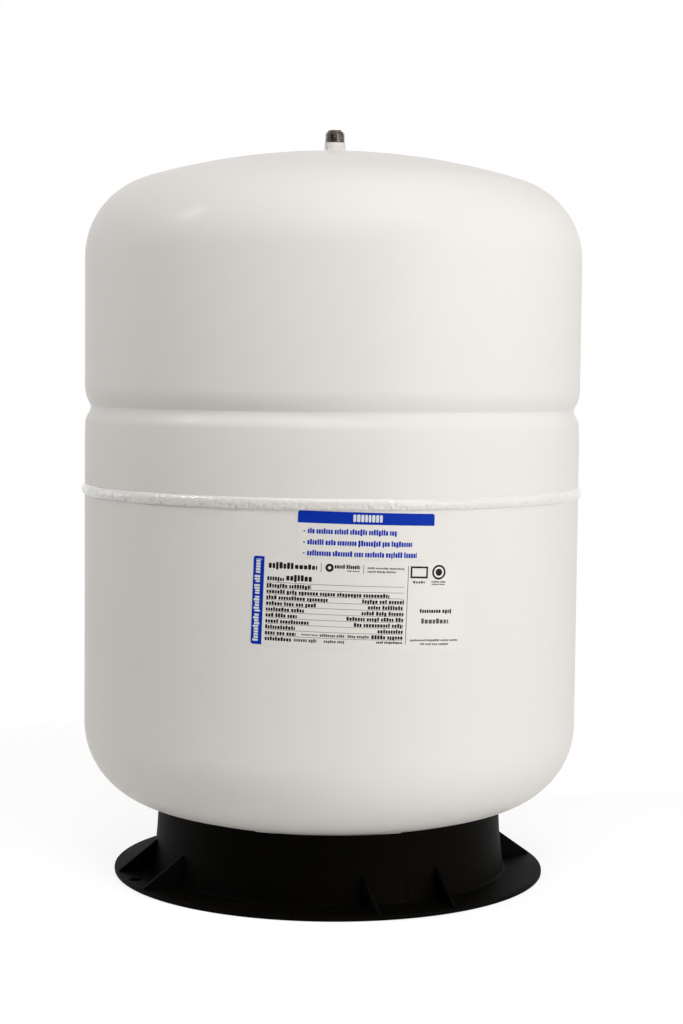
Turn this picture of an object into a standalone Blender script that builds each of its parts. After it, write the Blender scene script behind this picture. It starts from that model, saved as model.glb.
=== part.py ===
# Reverse osmosis water storage tank with a precharged air side, on a moulded stand.
# Metres, +Z up. The origin is on the floor, on the tank's axis. The front, with the labels, faces -Y.
import bpy
import bmesh
from math import asin, atan2, cos, pi, radians, sin, sqrt
from mathutils import Matrix, Vector

# Body of the tank
TANK_RADIUS = 0.1660
SHELL_WALL = 0.0012
CROWN_RADIUS = 0.434
KNUCKLE_RADIUS = 0.054
FLOOR_TO_SHELL = 0.0319
BODY_HEIGHT = 0.4519
SEAM_HEIGHT = 0.2592
GROOVE_ABOVE_SEAM = 0.0549
GROOVE_DEPTH = 0.0043
GROOVE_HALF_HEIGHT = 0.0108
GROOVE_SHARPNESS = 1.2
SEAM_OVERLAP = 0.0080
SEAM_ROOT_GAP = 0.0020
BEAD_HEIGHT = 0.0070
BEAD_STANDOUT = 0.0020

# Clearances
FIT_GAP = 0.0003
SEAL_GAP = 0.00015

# Inlet nipple, quarter inch pipe thread
NIPPLE_STANDOUT = 0.0154
NIPPLE_TIP_RADIUS = 0.0047
NIPPLE_THREAD_RADIUS = 0.0062
NIPPLE_TAPER = 1 / 32
NIPPLE_CHAMFER_HEIGHT = 0.0022
NIPPLE_COAT = 0.0003
NIPPLE_COATED_HEIGHT = 0.0072
NIPPLE_FLANGE_RADIUS = 0.0150
NIPPLE_FLANGE_THICKNESS = 0.0040
WATERWAY_RADIUS = 0.0033
NECK_WALL = 0.0012
NECK_LENGTH = 0.0085
INLET_SEAL_SECTION = 0.0017

# Water side: liner, diaphragm and the ring that clenches their rims
LINER_WALL = 0.0015
DIAPHRAGM_WALL = 0.0022
DIAPHRAGM_GAP = 0.0005
RING_WALL = 0.0010
RING_HALF_HEIGHT = 0.0070
RING_FLANGE_WIDTH = 0.0038
NECK_IN_RISE = 0.0065

# Stand
STAND_TOP_RADIUS = 0.1160
STAND_FOOT_FLARE = 0.0040
STAND_WALL = 0.0030
STAND_SEAT_WIDTH = 0.0065
FLANGE_WIDTH = 0.0255
FLANGE_THICKNESS = 0.0030
FLANGE_EDGE = 0.0008
GUSSET_HEIGHT = 0.0195
GUSSET_THICKNESS = 0.0025
GUSSET_SPREAD = 0.0520
GUSSET_END_INSET = 0.0018
SCREW_HOLE_RADIUS = 0.0043
SCREW_HOLE_INSET = 0.0075
SCREW_HOLE_COUNT = 4
FIRST_SCREW_HOLE_ANGLE = radians(23.5)

# Air valve: radii step out from the pin, and heights step up from the stem's tip
PIN_RADIUS = 0.0005
PIN_RUNNING_GAP = 0.00035
CORE_BARREL_WALL = 0.0006
CORE_GASKET_WALL = 0.00055
CORE_SEAT_STEP = 0.00045
STEM_WALL = 0.0009
AIRWAY_CLEARANCE = 0.0008
CORE_RECESS = 0.0008
CORE_PLUG_LENGTH = 0.0052
CORE_PLUG_END_GAP = 0.0015
CORE_GASKET_LENGTH = 0.0018
CORE_NOSE_LENGTH = 0.0014
CORE_KEY_DEPTH = 0.0022
PIN_RECESS = 0.0003
PIN_OVERRUN = 0.0009
PLUNGER_THICKNESS = 0.0008
PLUNGER_SEAL_THICKNESS = 0.0010
SPRING_WIRE_RADIUS = 0.00025
SPRING_CLEARANCE = 0.00045
SPRING_LENGTH = 0.0062
SPRING_TURNS = 5
SPRING_CUP_THICKNESS = 0.0005
STEM_LENGTH = 0.0105
STEM_TAIL_RADIUS = 0.0046
AIRWAY_LENGTH = 0.0030
HEX_ACROSS_FLATS = 0.0140
HEX_THICKNESS = 0.0035
STEM_SEAL_SECTION = 0.0015
BOSS_RADIUS = 0.0080
BOSS_PROUD = 0.0020
BOSS_FLANGE_RADIUS = 0.0110
BOSS_FLANGE_THICKNESS = 0.0020
CAP_THREAD_GAP = 0.0004
CAP_WALL = 0.0010
CAP_HEAD = 0.0013
CAP_SKIRT = 0.00605
CAP_RIB_DEPTH = 0.0004
CAP_SEAL_THICKNESS = 0.0010

# Labels: sizes along the wall and up it, then places from the front's middle and below the seam
LABEL_THICKNESS = 0.0003
LABEL_CORNER = 0.0030
UPPER_LABEL_WIDTH = 0.0840
UPPER_LABEL_HEIGHT = 0.0275
UPPER_LABEL_SHIFT = 0.0222
UPPER_LABEL_BELOW_SEAM = 0.0053
UPPER_LABEL_TILT = radians(-1.5)
LOWER_LABEL_WIDTH = 0.1336
LOWER_LABEL_HEIGHT = 0.0534
LOWER_LABEL_SHIFT = 0.0195
LOWER_LABEL_BELOW_UPPER = 0.0015
LOWER_LABEL_TILT = radians(-1.9)

# Smoothness
SHELL_SEGMENTS = 32
STAND_SEGMENTS = 48
FITTING_SEGMENTS = 20
CORE_SEGMENTS = 12
SCREW_HOLE_SEGMENTS = 16
SEAL_SIDES = 6
CROWN_STEPS = 4
KNUCKLE_STEPS = 5
DIAPHRAGM_CROWN_STEPS = 3
DIAPHRAGM_KNUCKLE_STEPS = 4
GROOVE_STEPS = 6
RING_STEPS = 4
BEAD_STEPS = 6
COLLAR_STEPS = 5
SPRING_STEPS = 9
LABEL_STEPS = 8
LABEL_CORNER_STEPS = 3
SHARP_ANGLE = radians(32)
SAME_POINT = 1e-7

# Heights that follow from the sizes above
DOME_CENTRE_DROP = sqrt((CROWN_RADIUS - KNUCKLE_RADIUS) ** 2 - (TANK_RADIUS - KNUCKLE_RADIUS) ** 2)
DOME_DEPTH = CROWN_RADIUS - DOME_CENTRE_DROP
LOWER_TANGENT = FLOOR_TO_SHELL + DOME_DEPTH
UPPER_TANGENT = FLOOR_TO_SHELL + BODY_HEIGHT - DOME_DEPTH
SHELL_TOP = FLOOR_TO_SHELL + BODY_HEIGHT
NIPPLE_TOP = SHELL_TOP + NIPPLE_STANDOUT
GROOVE_HEIGHT = SEAM_HEIGHT + GROOVE_ABOVE_SEAM
INNER_RADIUS = TANK_RADIUS - SHELL_WALL


def thread_radius(height):
    """Mean radius of the nipple's tapered thread, at a height."""
    return NIPPLE_THREAD_RADIUS + NIPPLE_TAPER * (NIPPLE_TOP - height)


NIPPLE_ROOT_RADIUS = thread_radius(SHELL_TOP) + NIPPLE_COAT


def clear_scene():
    for old in list(bpy.data.objects):
        bpy.data.objects.remove(old)


def finish(name, colour, roughness, metallic):
    """A plain surface finish."""
    made = bpy.data.materials.new(name)
    made.use_nodes = True
    shader = made.node_tree.nodes["Principled BSDF"]
    shader.inputs["Base Color"].default_value = (*colour, 1.0)
    shader.inputs["Roughness"].default_value = roughness
    shader.inputs["Metallic"].default_value = metallic
    return made


def datum(name, height):
    """An empty on the tank's axis that carries a group of pieces."""
    made = bpy.data.objects.new(name, None)
    made.location.z = height
    bpy.context.scene.collection.objects.link(made)
    return made


def place(bm, name, surface, carrier):
    """Turns a bmesh into a named object under its carrier, smooth but for its edges."""
    bmesh.ops.recalc_face_normals(bm, faces=bm.faces)
    mesh = bpy.data.meshes.new(name)
    bm.to_mesh(mesh)
    bm.free()
    mesh.shade_smooth()
    mesh.set_sharp_from_angle(angle=SHARP_ANGLE)
    mesh.materials.append(surface)
    made = bpy.data.objects.new(name, mesh)
    made.parent = carrier
    bpy.context.scene.collection.objects.link(made)
    return made


def turned(outline, segments):
    """Spins (radius, height) points round the axis, closing them unless both ends lie on it."""
    bm = bmesh.new()
    verts = [bm.verts.new((radius, 0.0, height)) for radius, height in outline]
    edges = [bm.edges.new(pair) for pair in zip(verts, verts[1:])]
    on_axis = outline[0][0] == 0.0 and outline[-1][0] == 0.0
    if not on_axis:
        edges.append(bm.edges.new((verts[-1], verts[0])))
    bmesh.ops.spin(bm, geom=verts + edges, cent=(0, 0, 0), axis=(0, 0, 1), angle=2 * pi,
                   steps=segments, use_merge=True, use_duplicate=False)
    bmesh.ops.remove_doubles(bm, verts=bm.verts, dist=SAME_POINT)
    bmesh.ops.dissolve_degenerate(bm, edges=bm.edges, dist=SAME_POINT)
    return bm


def arc(centre, radius, first, last, steps):
    """Points on a circle, with the angle counted from straight up towards larger radii."""
    angles = [first + (last - first) * k / steps for k in range(steps + 1)]
    return [(centre[0] + radius * sin(a), centre[1] + radius * cos(a)) for a in angles]


def seal_ring(middle_radius, section_radius, height):
    """A round seal of circular section."""
    outline = arc((middle_radius, height), section_radius, 0.0, 2 * pi, SEAL_SIDES)[:-1]
    return turned(outline, FITTING_SEGMENTS)


def polar(angle, radius, height=0.0):
    """A point at an angle from the front's middle, positive towards +X."""
    return Vector((radius * sin(angle), -radius * cos(angle), height))


def dome_height(radius, depth=0.0):
    """Height of the pressed end above the tangent line, at a radius, a depth inside the outer skin."""
    knuckle_centre = TANK_RADIUS - KNUCKLE_RADIUS
    meeting = (CROWN_RADIUS - depth) * knuckle_centre / (CROWN_RADIUS - KNUCKLE_RADIUS)
    if radius < meeting:
        return sqrt((CROWN_RADIUS - depth) ** 2 - radius ** 2) - DOME_CENTRE_DROP
    return sqrt((KNUCKLE_RADIUS - depth) ** 2 - (radius - knuckle_centre) ** 2)


def dome(depth, start_radius, crown_steps=CROWN_STEPS, knuckle_steps=KNUCKLE_STEPS):
    """The pressed end, a depth inside the outer skin, from a radius on the crown out to the wall.
    Heights count up from the line where the knuckle meets the wall. Nested ends share corner angles."""
    knuckle_centre = TANK_RADIUS - KNUCKLE_RADIUS
    meeting = asin(knuckle_centre / (CROWN_RADIUS - KNUCKLE_RADIUS))
    crown = arc((0.0, -DOME_CENTRE_DROP), CROWN_RADIUS - depth, 0.0, meeting, crown_steps)
    knuckle = arc((knuckle_centre, 0.0), KNUCKLE_RADIUS - depth, meeting, pi / 2, knuckle_steps)
    start = (start_radius, dome_height(start_radius, depth))
    return [start] + [point for point in crown + knuckle[1:] if point[0] > start_radius]


def raised(points, height):
    return [(radius, height + above) for radius, above in points]


def hung(points, height):
    return [(radius, height - below) for radius, below in points]


def groove_inset(height):
    """How far the rolled groove brings the wall in, at a height."""
    share = (height - GROOVE_HEIGHT) / GROOVE_HALF_HEIGHT
    return GROOVE_DEPTH * (0.5 + 0.5 * cos(pi * share)) ** GROOVE_SHARPNESS if abs(share) < 1 else 0.0


def grooved_wall(radius, top, bottom, steps=GROOVE_STEPS):
    """The wall from top to bottom past the groove, downwards."""
    heights = [top + (bottom - top) * k / steps for k in range(steps + 1)]
    return [(radius - groove_inset(height), height) for height in heights]


# The shells and their seam

def upper_shell(surface, carrier):
    """The upper pressing: dome, rolled groove, and a rim set in to enter the lower one."""
    hole = NIPPLE_ROOT_RADIUS + FIT_GAP
    groove_top = GROOVE_HEIGHT + GROOVE_HALF_HEIGHT
    groove_bottom = GROOVE_HEIGHT - GROOVE_HALF_HEIGHT
    set_in = SHELL_WALL + FIT_GAP
    rim_top = SEAM_HEIGHT + SEAM_ROOT_GAP / 2
    rim_bottom = SEAM_HEIGHT - SEAM_ROOT_GAP / 2 - SEAM_OVERLAP
    outer = raised(dome(0.0, hole), UPPER_TANGENT)
    outer += grooved_wall(TANK_RADIUS, groove_top, groove_bottom)
    outer += [(TANK_RADIUS, rim_top + set_in), (TANK_RADIUS - set_in, rim_top)]
    outer += [(TANK_RADIUS - set_in, rim_bottom)]
    inner = raised(dome(SHELL_WALL, hole), UPPER_TANGENT)
    inner += grooved_wall(INNER_RADIUS, groove_top, groove_bottom)
    inner += [(INNER_RADIUS, rim_top + set_in), (INNER_RADIUS - set_in, rim_top)]
    inner += [(INNER_RADIUS - set_in, rim_bottom)]
    return place(turned(outer + inner[::-1], SHELL_SEGMENTS), "upper_shell", surface, carrier)


def lower_shell(surface, carrier):
    """The lower pressing, with its hole for the air valve's boss."""
    hole = BOSS_RADIUS + FIT_GAP
    rim = SEAM_HEIGHT - SEAM_ROOT_GAP / 2
    outer = hung(dome(0.0, hole), LOWER_TANGENT) + [(TANK_RADIUS, rim)]
    inner = hung(dome(SHELL_WALL, hole), LOWER_TANGENT) + [(INNER_RADIUS, rim)]
    return place(turned(outer + inner[::-1], SHELL_SEGMENTS), "lower_shell", surface, carrier)


def seam_weld(surface, carrier):
    """The weld: a root between the two rims and a rounded bead over them."""
    root_radius = TANK_RADIUS - SHELL_WALL
    root_half = SEAM_ROOT_GAP / 2 - FIT_GAP
    face = TANK_RADIUS + FIT_GAP
    half = BEAD_HEIGHT / 2
    angles = [pi * k / BEAD_STEPS for k in range(BEAD_STEPS + 1)]
    cap = [(face + (BEAD_STANDOUT - FIT_GAP) * sin(a), SEAM_HEIGHT + half * cos(a)) for a in angles]
    root = [(face, SEAM_HEIGHT - root_half), (root_radius, SEAM_HEIGHT - root_half),
            (root_radius, SEAM_HEIGHT + root_half), (face, SEAM_HEIGHT + root_half + SHELL_WALL)]
    return place(turned(cap + root, SHELL_SEGMENTS), "seam_weld", surface, carrier)


# The water side

NIPPLE_SOCKET_RADIUS = WATERWAY_RADIUS + NECK_WALL + FIT_GAP
NIPPLE_FLANGE_TOP = UPPER_TANGENT + dome_height(NIPPLE_FLANGE_RADIUS, SHELL_WALL) - FIT_GAP
NIPPLE_FLANGE_BOTTOM = NIPPLE_FLANGE_TOP - NIPPLE_FLANGE_THICKNESS
LINER_DISC_TOP = NIPPLE_FLANGE_BOTTOM - FIT_GAP
LINER_DISC_BOTTOM = LINER_DISC_TOP - LINER_WALL
NECK_TOP = LINER_DISC_TOP + NECK_LENGTH
INLET_SEAL_GROOVE_RADIUS = NIPPLE_SOCKET_RADIUS - FIT_GAP + INLET_SEAL_SECTION + 2 * SEAL_GAP
INLET_SEAL_GROOVE_DEPTH = INLET_SEAL_SECTION + 2 * SEAL_GAP


def inlet_nipple(surface, carrier):
    """The turned nipple, welded into the dome by the flange inside it."""
    thread_top = NIPPLE_TOP - NIPPLE_CHAMFER_HEIGHT
    coated_top = SHELL_TOP + NIPPLE_COATED_HEIGHT
    socket_top = NECK_TOP + FIT_GAP
    groove_top = NIPPLE_FLANGE_BOTTOM + INLET_SEAL_GROOVE_DEPTH
    outline = [
        (NIPPLE_TIP_RADIUS, NIPPLE_TOP),
        (thread_radius(thread_top), thread_top),
        (thread_radius(coated_top), coated_top),
        (thread_radius(coated_top) + NIPPLE_COAT, coated_top),
        (NIPPLE_ROOT_RADIUS, SHELL_TOP),
        (NIPPLE_ROOT_RADIUS, NIPPLE_FLANGE_TOP),
        (NIPPLE_FLANGE_RADIUS, NIPPLE_FLANGE_TOP),
        (NIPPLE_FLANGE_RADIUS, NIPPLE_FLANGE_BOTTOM),
        (INLET_SEAL_GROOVE_RADIUS, NIPPLE_FLANGE_BOTTOM),
        (INLET_SEAL_GROOVE_RADIUS, groove_top),
        (NIPPLE_SOCKET_RADIUS, groove_top),
        (NIPPLE_SOCKET_RADIUS, socket_top),
        (WATERWAY_RADIUS, socket_top),
        (WATERWAY_RADIUS, NIPPLE_TOP),
    ]
    return place(turned(outline, FITTING_SEGMENTS), "inlet_nipple", surface, carrier)


def inlet_seal(surface, carrier):
    """The seal round the liner's neck, in its groove under the nipple's flange."""
    section = INLET_SEAL_SECTION / 2
    middle = INLET_SEAL_GROOVE_RADIUS - SEAL_GAP - section
    height = NIPPLE_FLANGE_BOTTOM + SEAL_GAP + section
    return place(seal_ring(middle, section, height), "inlet_seal", surface, carrier)


# The rims are stacked inside the ring: liner lip on top, diaphragm bead below it
CHANNEL_RADIUS = INNER_RADIUS - GROOVE_DEPTH - FIT_GAP - RING_WALL
RING_INNER_RADIUS = CHANNEL_RADIUS - RING_FLANGE_WIDTH
RING_TOP = GROOVE_HEIGHT + RING_HALF_HEIGHT
LIP_RADIUS = CHANNEL_RADIUS - FIT_GAP
LIP_TOP = RING_TOP - RING_WALL - FIT_GAP
LIP_BOTTOM = LIP_TOP - LINER_WALL
LINER_THROAT_RADIUS = RING_INNER_RADIUS - FIT_GAP
THROAT_TOP = RING_TOP + FIT_GAP + LINER_WALL
BEAD_TOP = LIP_BOTTOM - FIT_GAP
BEAD_BOTTOM = GROOVE_HEIGHT - RING_HALF_HEIGHT + RING_WALL + FIT_GAP
LINER_DEPTH = SHELL_WALL + FIT_GAP
DIAPHRAGM_DEPTH = LINER_DEPTH + LINER_WALL + DIAPHRAGM_GAP


def clench_ring(surface, carrier):
    """The channel that clenches the two rims. The rolled groove holds it by its web."""
    bottom = GROOVE_HEIGHT - RING_HALF_HEIGHT
    web = grooved_wall(INNER_RADIUS - FIT_GAP, RING_TOP, bottom, RING_STEPS)
    outline = web + [
        (RING_INNER_RADIUS, bottom),
        (RING_INNER_RADIUS, bottom + RING_WALL),
        (CHANNEL_RADIUS, bottom + RING_WALL),
        (CHANNEL_RADIUS, RING_TOP - RING_WALL),
        (RING_INNER_RADIUS, RING_TOP - RING_WALL),
        (RING_INNER_RADIUS, RING_TOP),
    ]
    return place(turned(outline, SHELL_SEGMENTS), "clench_ring", surface, carrier)


def liner(surface, carrier):
    """The plastic liner of the water side: neck, disc under the nipple, dome, and a lip in the ring."""
    disc_radius = NIPPLE_FLANGE_RADIUS + 2 * FIT_GAP
    neck_radius = WATERWAY_RADIUS + NECK_WALL
    wall_radius = TANK_RADIUS - LINER_DEPTH
    inner_depth = LINER_DEPTH + LINER_WALL
    dome_start = disc_radius + LINER_WALL
    rise_top = THROAT_TOP + NECK_IN_RISE
    throat_inside = LINER_THROAT_RADIUS - LINER_WALL
    outer = [(neck_radius, NECK_TOP), (neck_radius, LINER_DISC_TOP), (disc_radius, LINER_DISC_TOP)]
    outer += raised(dome(LINER_DEPTH, dome_start), UPPER_TANGENT)
    outer += [(wall_radius, rise_top), (LINER_THROAT_RADIUS, THROAT_TOP),
              (LINER_THROAT_RADIUS, LIP_TOP), (LIP_RADIUS, LIP_TOP)]
    inner = [(WATERWAY_RADIUS, NECK_TOP), (WATERWAY_RADIUS, LINER_DISC_BOTTOM)]
    inner += [(disc_radius, LINER_DISC_BOTTOM)]
    inner += raised(dome(inner_depth, dome_start + LINER_WALL), UPPER_TANGENT)
    inner += [(wall_radius - LINER_WALL, rise_top), (throat_inside, THROAT_TOP),
              (throat_inside, LIP_BOTTOM), (LIP_RADIUS, LIP_BOTTOM)]
    return place(turned(outer + inner[::-1], SHELL_SEGMENTS), "liner", surface, carrier)


def diaphragm(surface, carrier):
    """The rubber diaphragm, pressed up into the liner by the air below it, as in an empty tank."""
    drop = UPPER_TANGENT + dome_height(0.0, DIAPHRAGM_DEPTH) - (LINER_DISC_BOTTOM - DIAPHRAGM_GAP)
    tangent = UPPER_TANGENT - drop
    wall_radius = TANK_RADIUS - DIAPHRAGM_DEPTH
    throat_radius = LINER_THROAT_RADIUS - LINER_WALL - DIAPHRAGM_GAP
    throat_top = THROAT_TOP + LINER_WALL / 2
    steps = (DIAPHRAGM_CROWN_STEPS, DIAPHRAGM_KNUCKLE_STEPS)
    outer = raised(dome(DIAPHRAGM_DEPTH, 0.0, *steps), tangent)
    outer += [(wall_radius, throat_top + NECK_IN_RISE), (throat_radius, throat_top),
              (throat_radius, BEAD_TOP), (LIP_RADIUS, BEAD_TOP), (LIP_RADIUS, BEAD_BOTTOM)]
    inner = raised(dome(DIAPHRAGM_DEPTH + DIAPHRAGM_WALL, 0.0, *steps), tangent)
    inner += [(wall_radius - DIAPHRAGM_WALL, throat_top + NECK_IN_RISE + DIAPHRAGM_WALL / 2),
              (throat_radius - DIAPHRAGM_WALL, throat_top + DIAPHRAGM_WALL / 2),
              (throat_radius - DIAPHRAGM_WALL, BEAD_BOTTOM)]
    return place(turned(outer + inner[::-1], SHELL_SEGMENTS), "diaphragm", surface, carrier)


# The stand

FOOT_RADIUS = STAND_TOP_RADIUS + STAND_FOOT_FLARE
FLANGE_RADIUS = FOOT_RADIUS + FLANGE_WIDTH


def seat_height(radius):
    """Height at which the stand meets the lower dome, a fit gap below its skin."""
    return LOWER_TANGENT - dome_height(radius, -FIT_GAP)


def collar_radius(height):
    """Outer radius of the collar, which flares towards its foot."""
    share = 1 - (height - FLANGE_THICKNESS) / (seat_height(STAND_TOP_RADIUS) - FLANGE_THICKNESS)
    return STAND_TOP_RADIUS + STAND_FOOT_FLARE * share ** 2


def stand_ring():
    """The turned form of the stand: flange, flared collar, and a seat that fits the dome."""
    top = seat_height(STAND_TOP_RADIUS)
    rise = (top - FLANGE_THICKNESS) / COLLAR_STEPS
    heights = [FLANGE_THICKNESS + rise * k for k in range(COLLAR_STEPS + 1)]
    seat_radius = STAND_TOP_RADIUS - STAND_SEAT_WIDTH
    seat_underside = seat_height(seat_radius) - STAND_WALL
    rim = FLANGE_RADIUS - FLANGE_EDGE
    outline = [(rim, 0.0), (FLANGE_RADIUS, FLANGE_EDGE), (FLANGE_RADIUS, FLANGE_THICKNESS - FLANGE_EDGE)]
    outline += [(rim, FLANGE_THICKNESS), (FOOT_RADIUS + FLANGE_EDGE, FLANGE_THICKNESS)]
    outline += [(collar_radius(h), h) for h in [FLANGE_THICKNESS + FLANGE_EDGE] + heights[1:]]
    outline += [(seat_radius, seat_height(seat_radius)), (seat_radius, seat_underside)]
    outline += [(collar_radius(seat_underside) - STAND_WALL, seat_underside - STAND_WALL / 2)]
    outline += [(collar_radius(h) - STAND_WALL, h) for h in heights[COLLAR_STEPS - 2:0:-1]]
    outline += [(FOOT_RADIUS - STAND_WALL, 0.0)]
    return turned(outline, STAND_SEGMENTS)


def gusset(angle, side):
    """One triangular web from the collar to the flange, beside a screw hole."""
    bury = min(STAND_WALL, FLANGE_THICKNESS) / 2
    out = FLANGE_RADIUS - GUSSET_END_INSET
    top = FLANGE_THICKNESS + GUSSET_HEIGHT
    offset = side * GUSSET_SPREAD / 2
    across = Vector((cos(angle), sin(angle), 0.0))

    def along(radius):
        """Distance along the hole's own line at which the web reaches a radius."""
        return sqrt(radius ** 2 - offset ** 2)

    foot = FLANGE_THICKNESS - bury
    inner = along(collar_radius(FLANGE_THICKNESS) - bury)
    shoulder = along(collar_radius(top) - bury)
    profile = [(inner, foot), (along(out), foot), (along(out), FLANGE_THICKNESS + FLANGE_EDGE)]
    profile += [(along(collar_radius(top)), top), (shoulder, top)]
    bm = bmesh.new()
    near = across * (offset - GUSSET_THICKNESS / 2)
    verts = [bm.verts.new(polar(angle, reach, height) + near) for reach, height in profile]
    face = bm.faces.new(verts)
    grown = bmesh.ops.extrude_face_region(bm, geom=[face])["geom"]
    moved = [item for item in grown if isinstance(item, bmesh.types.BMVert)]
    bmesh.ops.translate(bm, verts=moved, vec=across * GUSSET_THICKNESS)
    return bm


def scratch_object(bm, name, carrier):
    """A guide shape for a Boolean, left out of the model."""
    bmesh.ops.recalc_face_normals(bm, faces=bm.faces)
    mesh = bpy.data.meshes.new(name)
    bm.to_mesh(mesh)
    bm.free()
    made = bpy.data.objects.new(name, mesh)
    made.hide_render = True
    made.display_type = "WIRE"
    made.parent = carrier
    bpy.context.scene.collection.objects.link(made)
    return made


def prism(sides, corner_radius, length, centre):
    """An upright bar with equal sides."""
    bm = bmesh.new()
    bmesh.ops.create_cone(bm, cap_ends=True, segments=sides, radius1=corner_radius, radius2=corner_radius,
                          depth=length, matrix=Matrix.Translation(centre))
    return bm


def combine(target, guide, operation):
    """Joins a guide shape to the target, or cuts it out."""
    change = target.modifiers.new(guide.name, "BOOLEAN")
    change.operation = operation
    change.solver = "EXACT"
    change.object = guide


def stand(surface, carrier):
    """The moulded stand, with a pair of webs beside each screw hole."""
    made = place(stand_ring(), "stand", surface, carrier)
    for k in range(SCREW_HOLE_COUNT):
        angle = FIRST_SCREW_HOLE_ANGLE + 2 * pi * k / SCREW_HOLE_COUNT
        for side in (-1, 1):
            web = scratch_object(gusset(angle, side), f"web_{k}_{'left' if side < 0 else 'right'}", carrier)
            combine(made, web, "UNION")
        centre = polar(angle, FLANGE_RADIUS - SCREW_HOLE_INSET, FLANGE_THICKNESS / 2)
        bm = prism(SCREW_HOLE_SEGMENTS, SCREW_HOLE_RADIUS, 2 * FLANGE_THICKNESS, centre)
        combine(made, scratch_object(bm, f"screw_hole_{k}", carrier), "DIFFERENCE")
    return made


# The air valve. Its datum is the stem's tip, and heights count up from there, into the tank.

CORE_BORE_RADIUS = PIN_RADIUS + PIN_RUNNING_GAP
CORE_BARREL_RADIUS = CORE_BORE_RADIUS + CORE_BARREL_WALL
CORE_SEAT_RADIUS = CORE_BARREL_RADIUS + CORE_GASKET_WALL + 2 * SEAL_GAP
CORE_SOCKET_RADIUS = CORE_SEAT_RADIUS + CORE_SEAT_STEP
CORE_PLUG_RADIUS = CORE_SOCKET_RADIUS - FIT_GAP
STEM_RADIUS = CORE_SOCKET_RADIUS + STEM_WALL
AIRWAY_RADIUS = PIN_RADIUS + AIRWAY_CLEARANCE
SPRING_COIL_RADIUS = PIN_RADIUS + SPRING_CLEARANCE + SPRING_WIRE_RADIUS

HEX_TOP = STEM_LENGTH + HEX_THICKNESS
BOSS_FACE = HEX_TOP + STEM_SEAL_SECTION + 2 * SEAL_GAP
VALVE_TIP = FLOOR_TO_SHELL - BOSS_PROUD - BOSS_FACE
CORE_PLUG_END = CORE_RECESS + CORE_PLUG_LENGTH
CORE_SOCKET_DEPTH = CORE_PLUG_END + CORE_PLUG_END_GAP
CORE_GASKET_BOTTOM = CORE_SOCKET_DEPTH + SEAL_GAP
CORE_GASKET_TOP = CORE_GASKET_BOTTOM + CORE_GASKET_LENGTH
BARREL_END = CORE_GASKET_TOP + CORE_NOSE_LENGTH
CORE_SEAL_BOTTOM = BARREL_END + SEAL_GAP
CORE_SEAL_TOP = CORE_SEAL_BOTTOM + PLUNGER_SEAL_THICKNESS
PLUNGER_BOTTOM = CORE_SEAL_TOP + SEAL_GAP
PLUNGER_TOP = PLUNGER_BOTTOM + PLUNGER_THICKNESS
SPRING_CUP_BOTTOM = PLUNGER_TOP + SPRING_LENGTH + 2 * SEAL_GAP
SPRING_CUP_TOP = SPRING_CUP_BOTTOM + SPRING_CUP_THICKNESS
CORE_SEAT_DEPTH = SPRING_CUP_TOP + SEAL_GAP
STEM_TOP = CORE_SEAT_DEPTH + AIRWAY_LENGTH


def valve_boss(surface, carrier):
    """The threaded boss welded into the lower dome."""
    flange_height = LOWER_TANGENT - dome_height(BOSS_FLANGE_RADIUS, SHELL_WALL) + FIT_GAP - VALVE_TIP
    flange_top = flange_height + BOSS_FLANGE_THICKNESS
    bore = STEM_TAIL_RADIUS + FIT_GAP
    outline = [(bore, BOSS_FACE), (BOSS_RADIUS, BOSS_FACE), (BOSS_RADIUS, flange_height),
               (BOSS_FLANGE_RADIUS, flange_height), (BOSS_FLANGE_RADIUS, flange_top), (bore, flange_top)]
    return place(turned(outline, FITTING_SEGMENTS), "valve_boss", surface, carrier)


def valve_stem(surface, carrier):
    """The brass stem: tip for the cap, hexagon, tail for the boss, and a stepped bore for the core."""
    hex_middle = (STEM_LENGTH + HEX_TOP) / 2
    blank = [(0.0, 0.0), (STEM_RADIUS - FIT_GAP, 0.0), (STEM_RADIUS, FIT_GAP), (STEM_RADIUS, hex_middle),
             (STEM_TAIL_RADIUS, hex_middle), (STEM_TAIL_RADIUS, STEM_TOP), (0.0, STEM_TOP)]
    made = place(turned(blank, FITTING_SEGMENTS), "valve_stem", surface, carrier)
    bm = prism(6, HEX_ACROSS_FLATS / 2 / cos(pi / 6), HEX_THICKNESS, (0.0, 0.0, hex_middle))
    combine(made, scratch_object(bm, "hexagon", carrier), "UNION")
    past = FIT_GAP
    step_start = CORE_SOCKET_DEPTH - (CORE_SOCKET_RADIUS - CORE_SEAT_RADIUS)
    bore = [(0.0, -past), (CORE_SOCKET_RADIUS, -past), (CORE_SOCKET_RADIUS, step_start),
            (CORE_SEAT_RADIUS, CORE_SOCKET_DEPTH), (CORE_SEAT_RADIUS, CORE_SEAT_DEPTH),
            (AIRWAY_RADIUS, CORE_SEAT_DEPTH), (AIRWAY_RADIUS, STEM_TOP + past), (0.0, STEM_TOP + past)]
    combine(made, scratch_object(turned(bore, FITTING_SEGMENTS), "core_bore", carrier), "DIFFERENCE")
    return made


def stem_seal(surface, carrier):
    """The seal between the stem's hexagon and the boss."""
    section = STEM_SEAL_SECTION / 2
    middle = STEM_TAIL_RADIUS + SEAL_GAP + section
    height = HEX_TOP + SEAL_GAP + section
    return place(seal_ring(middle, section, height), "valve_stem_seal", surface, carrier)


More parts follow.
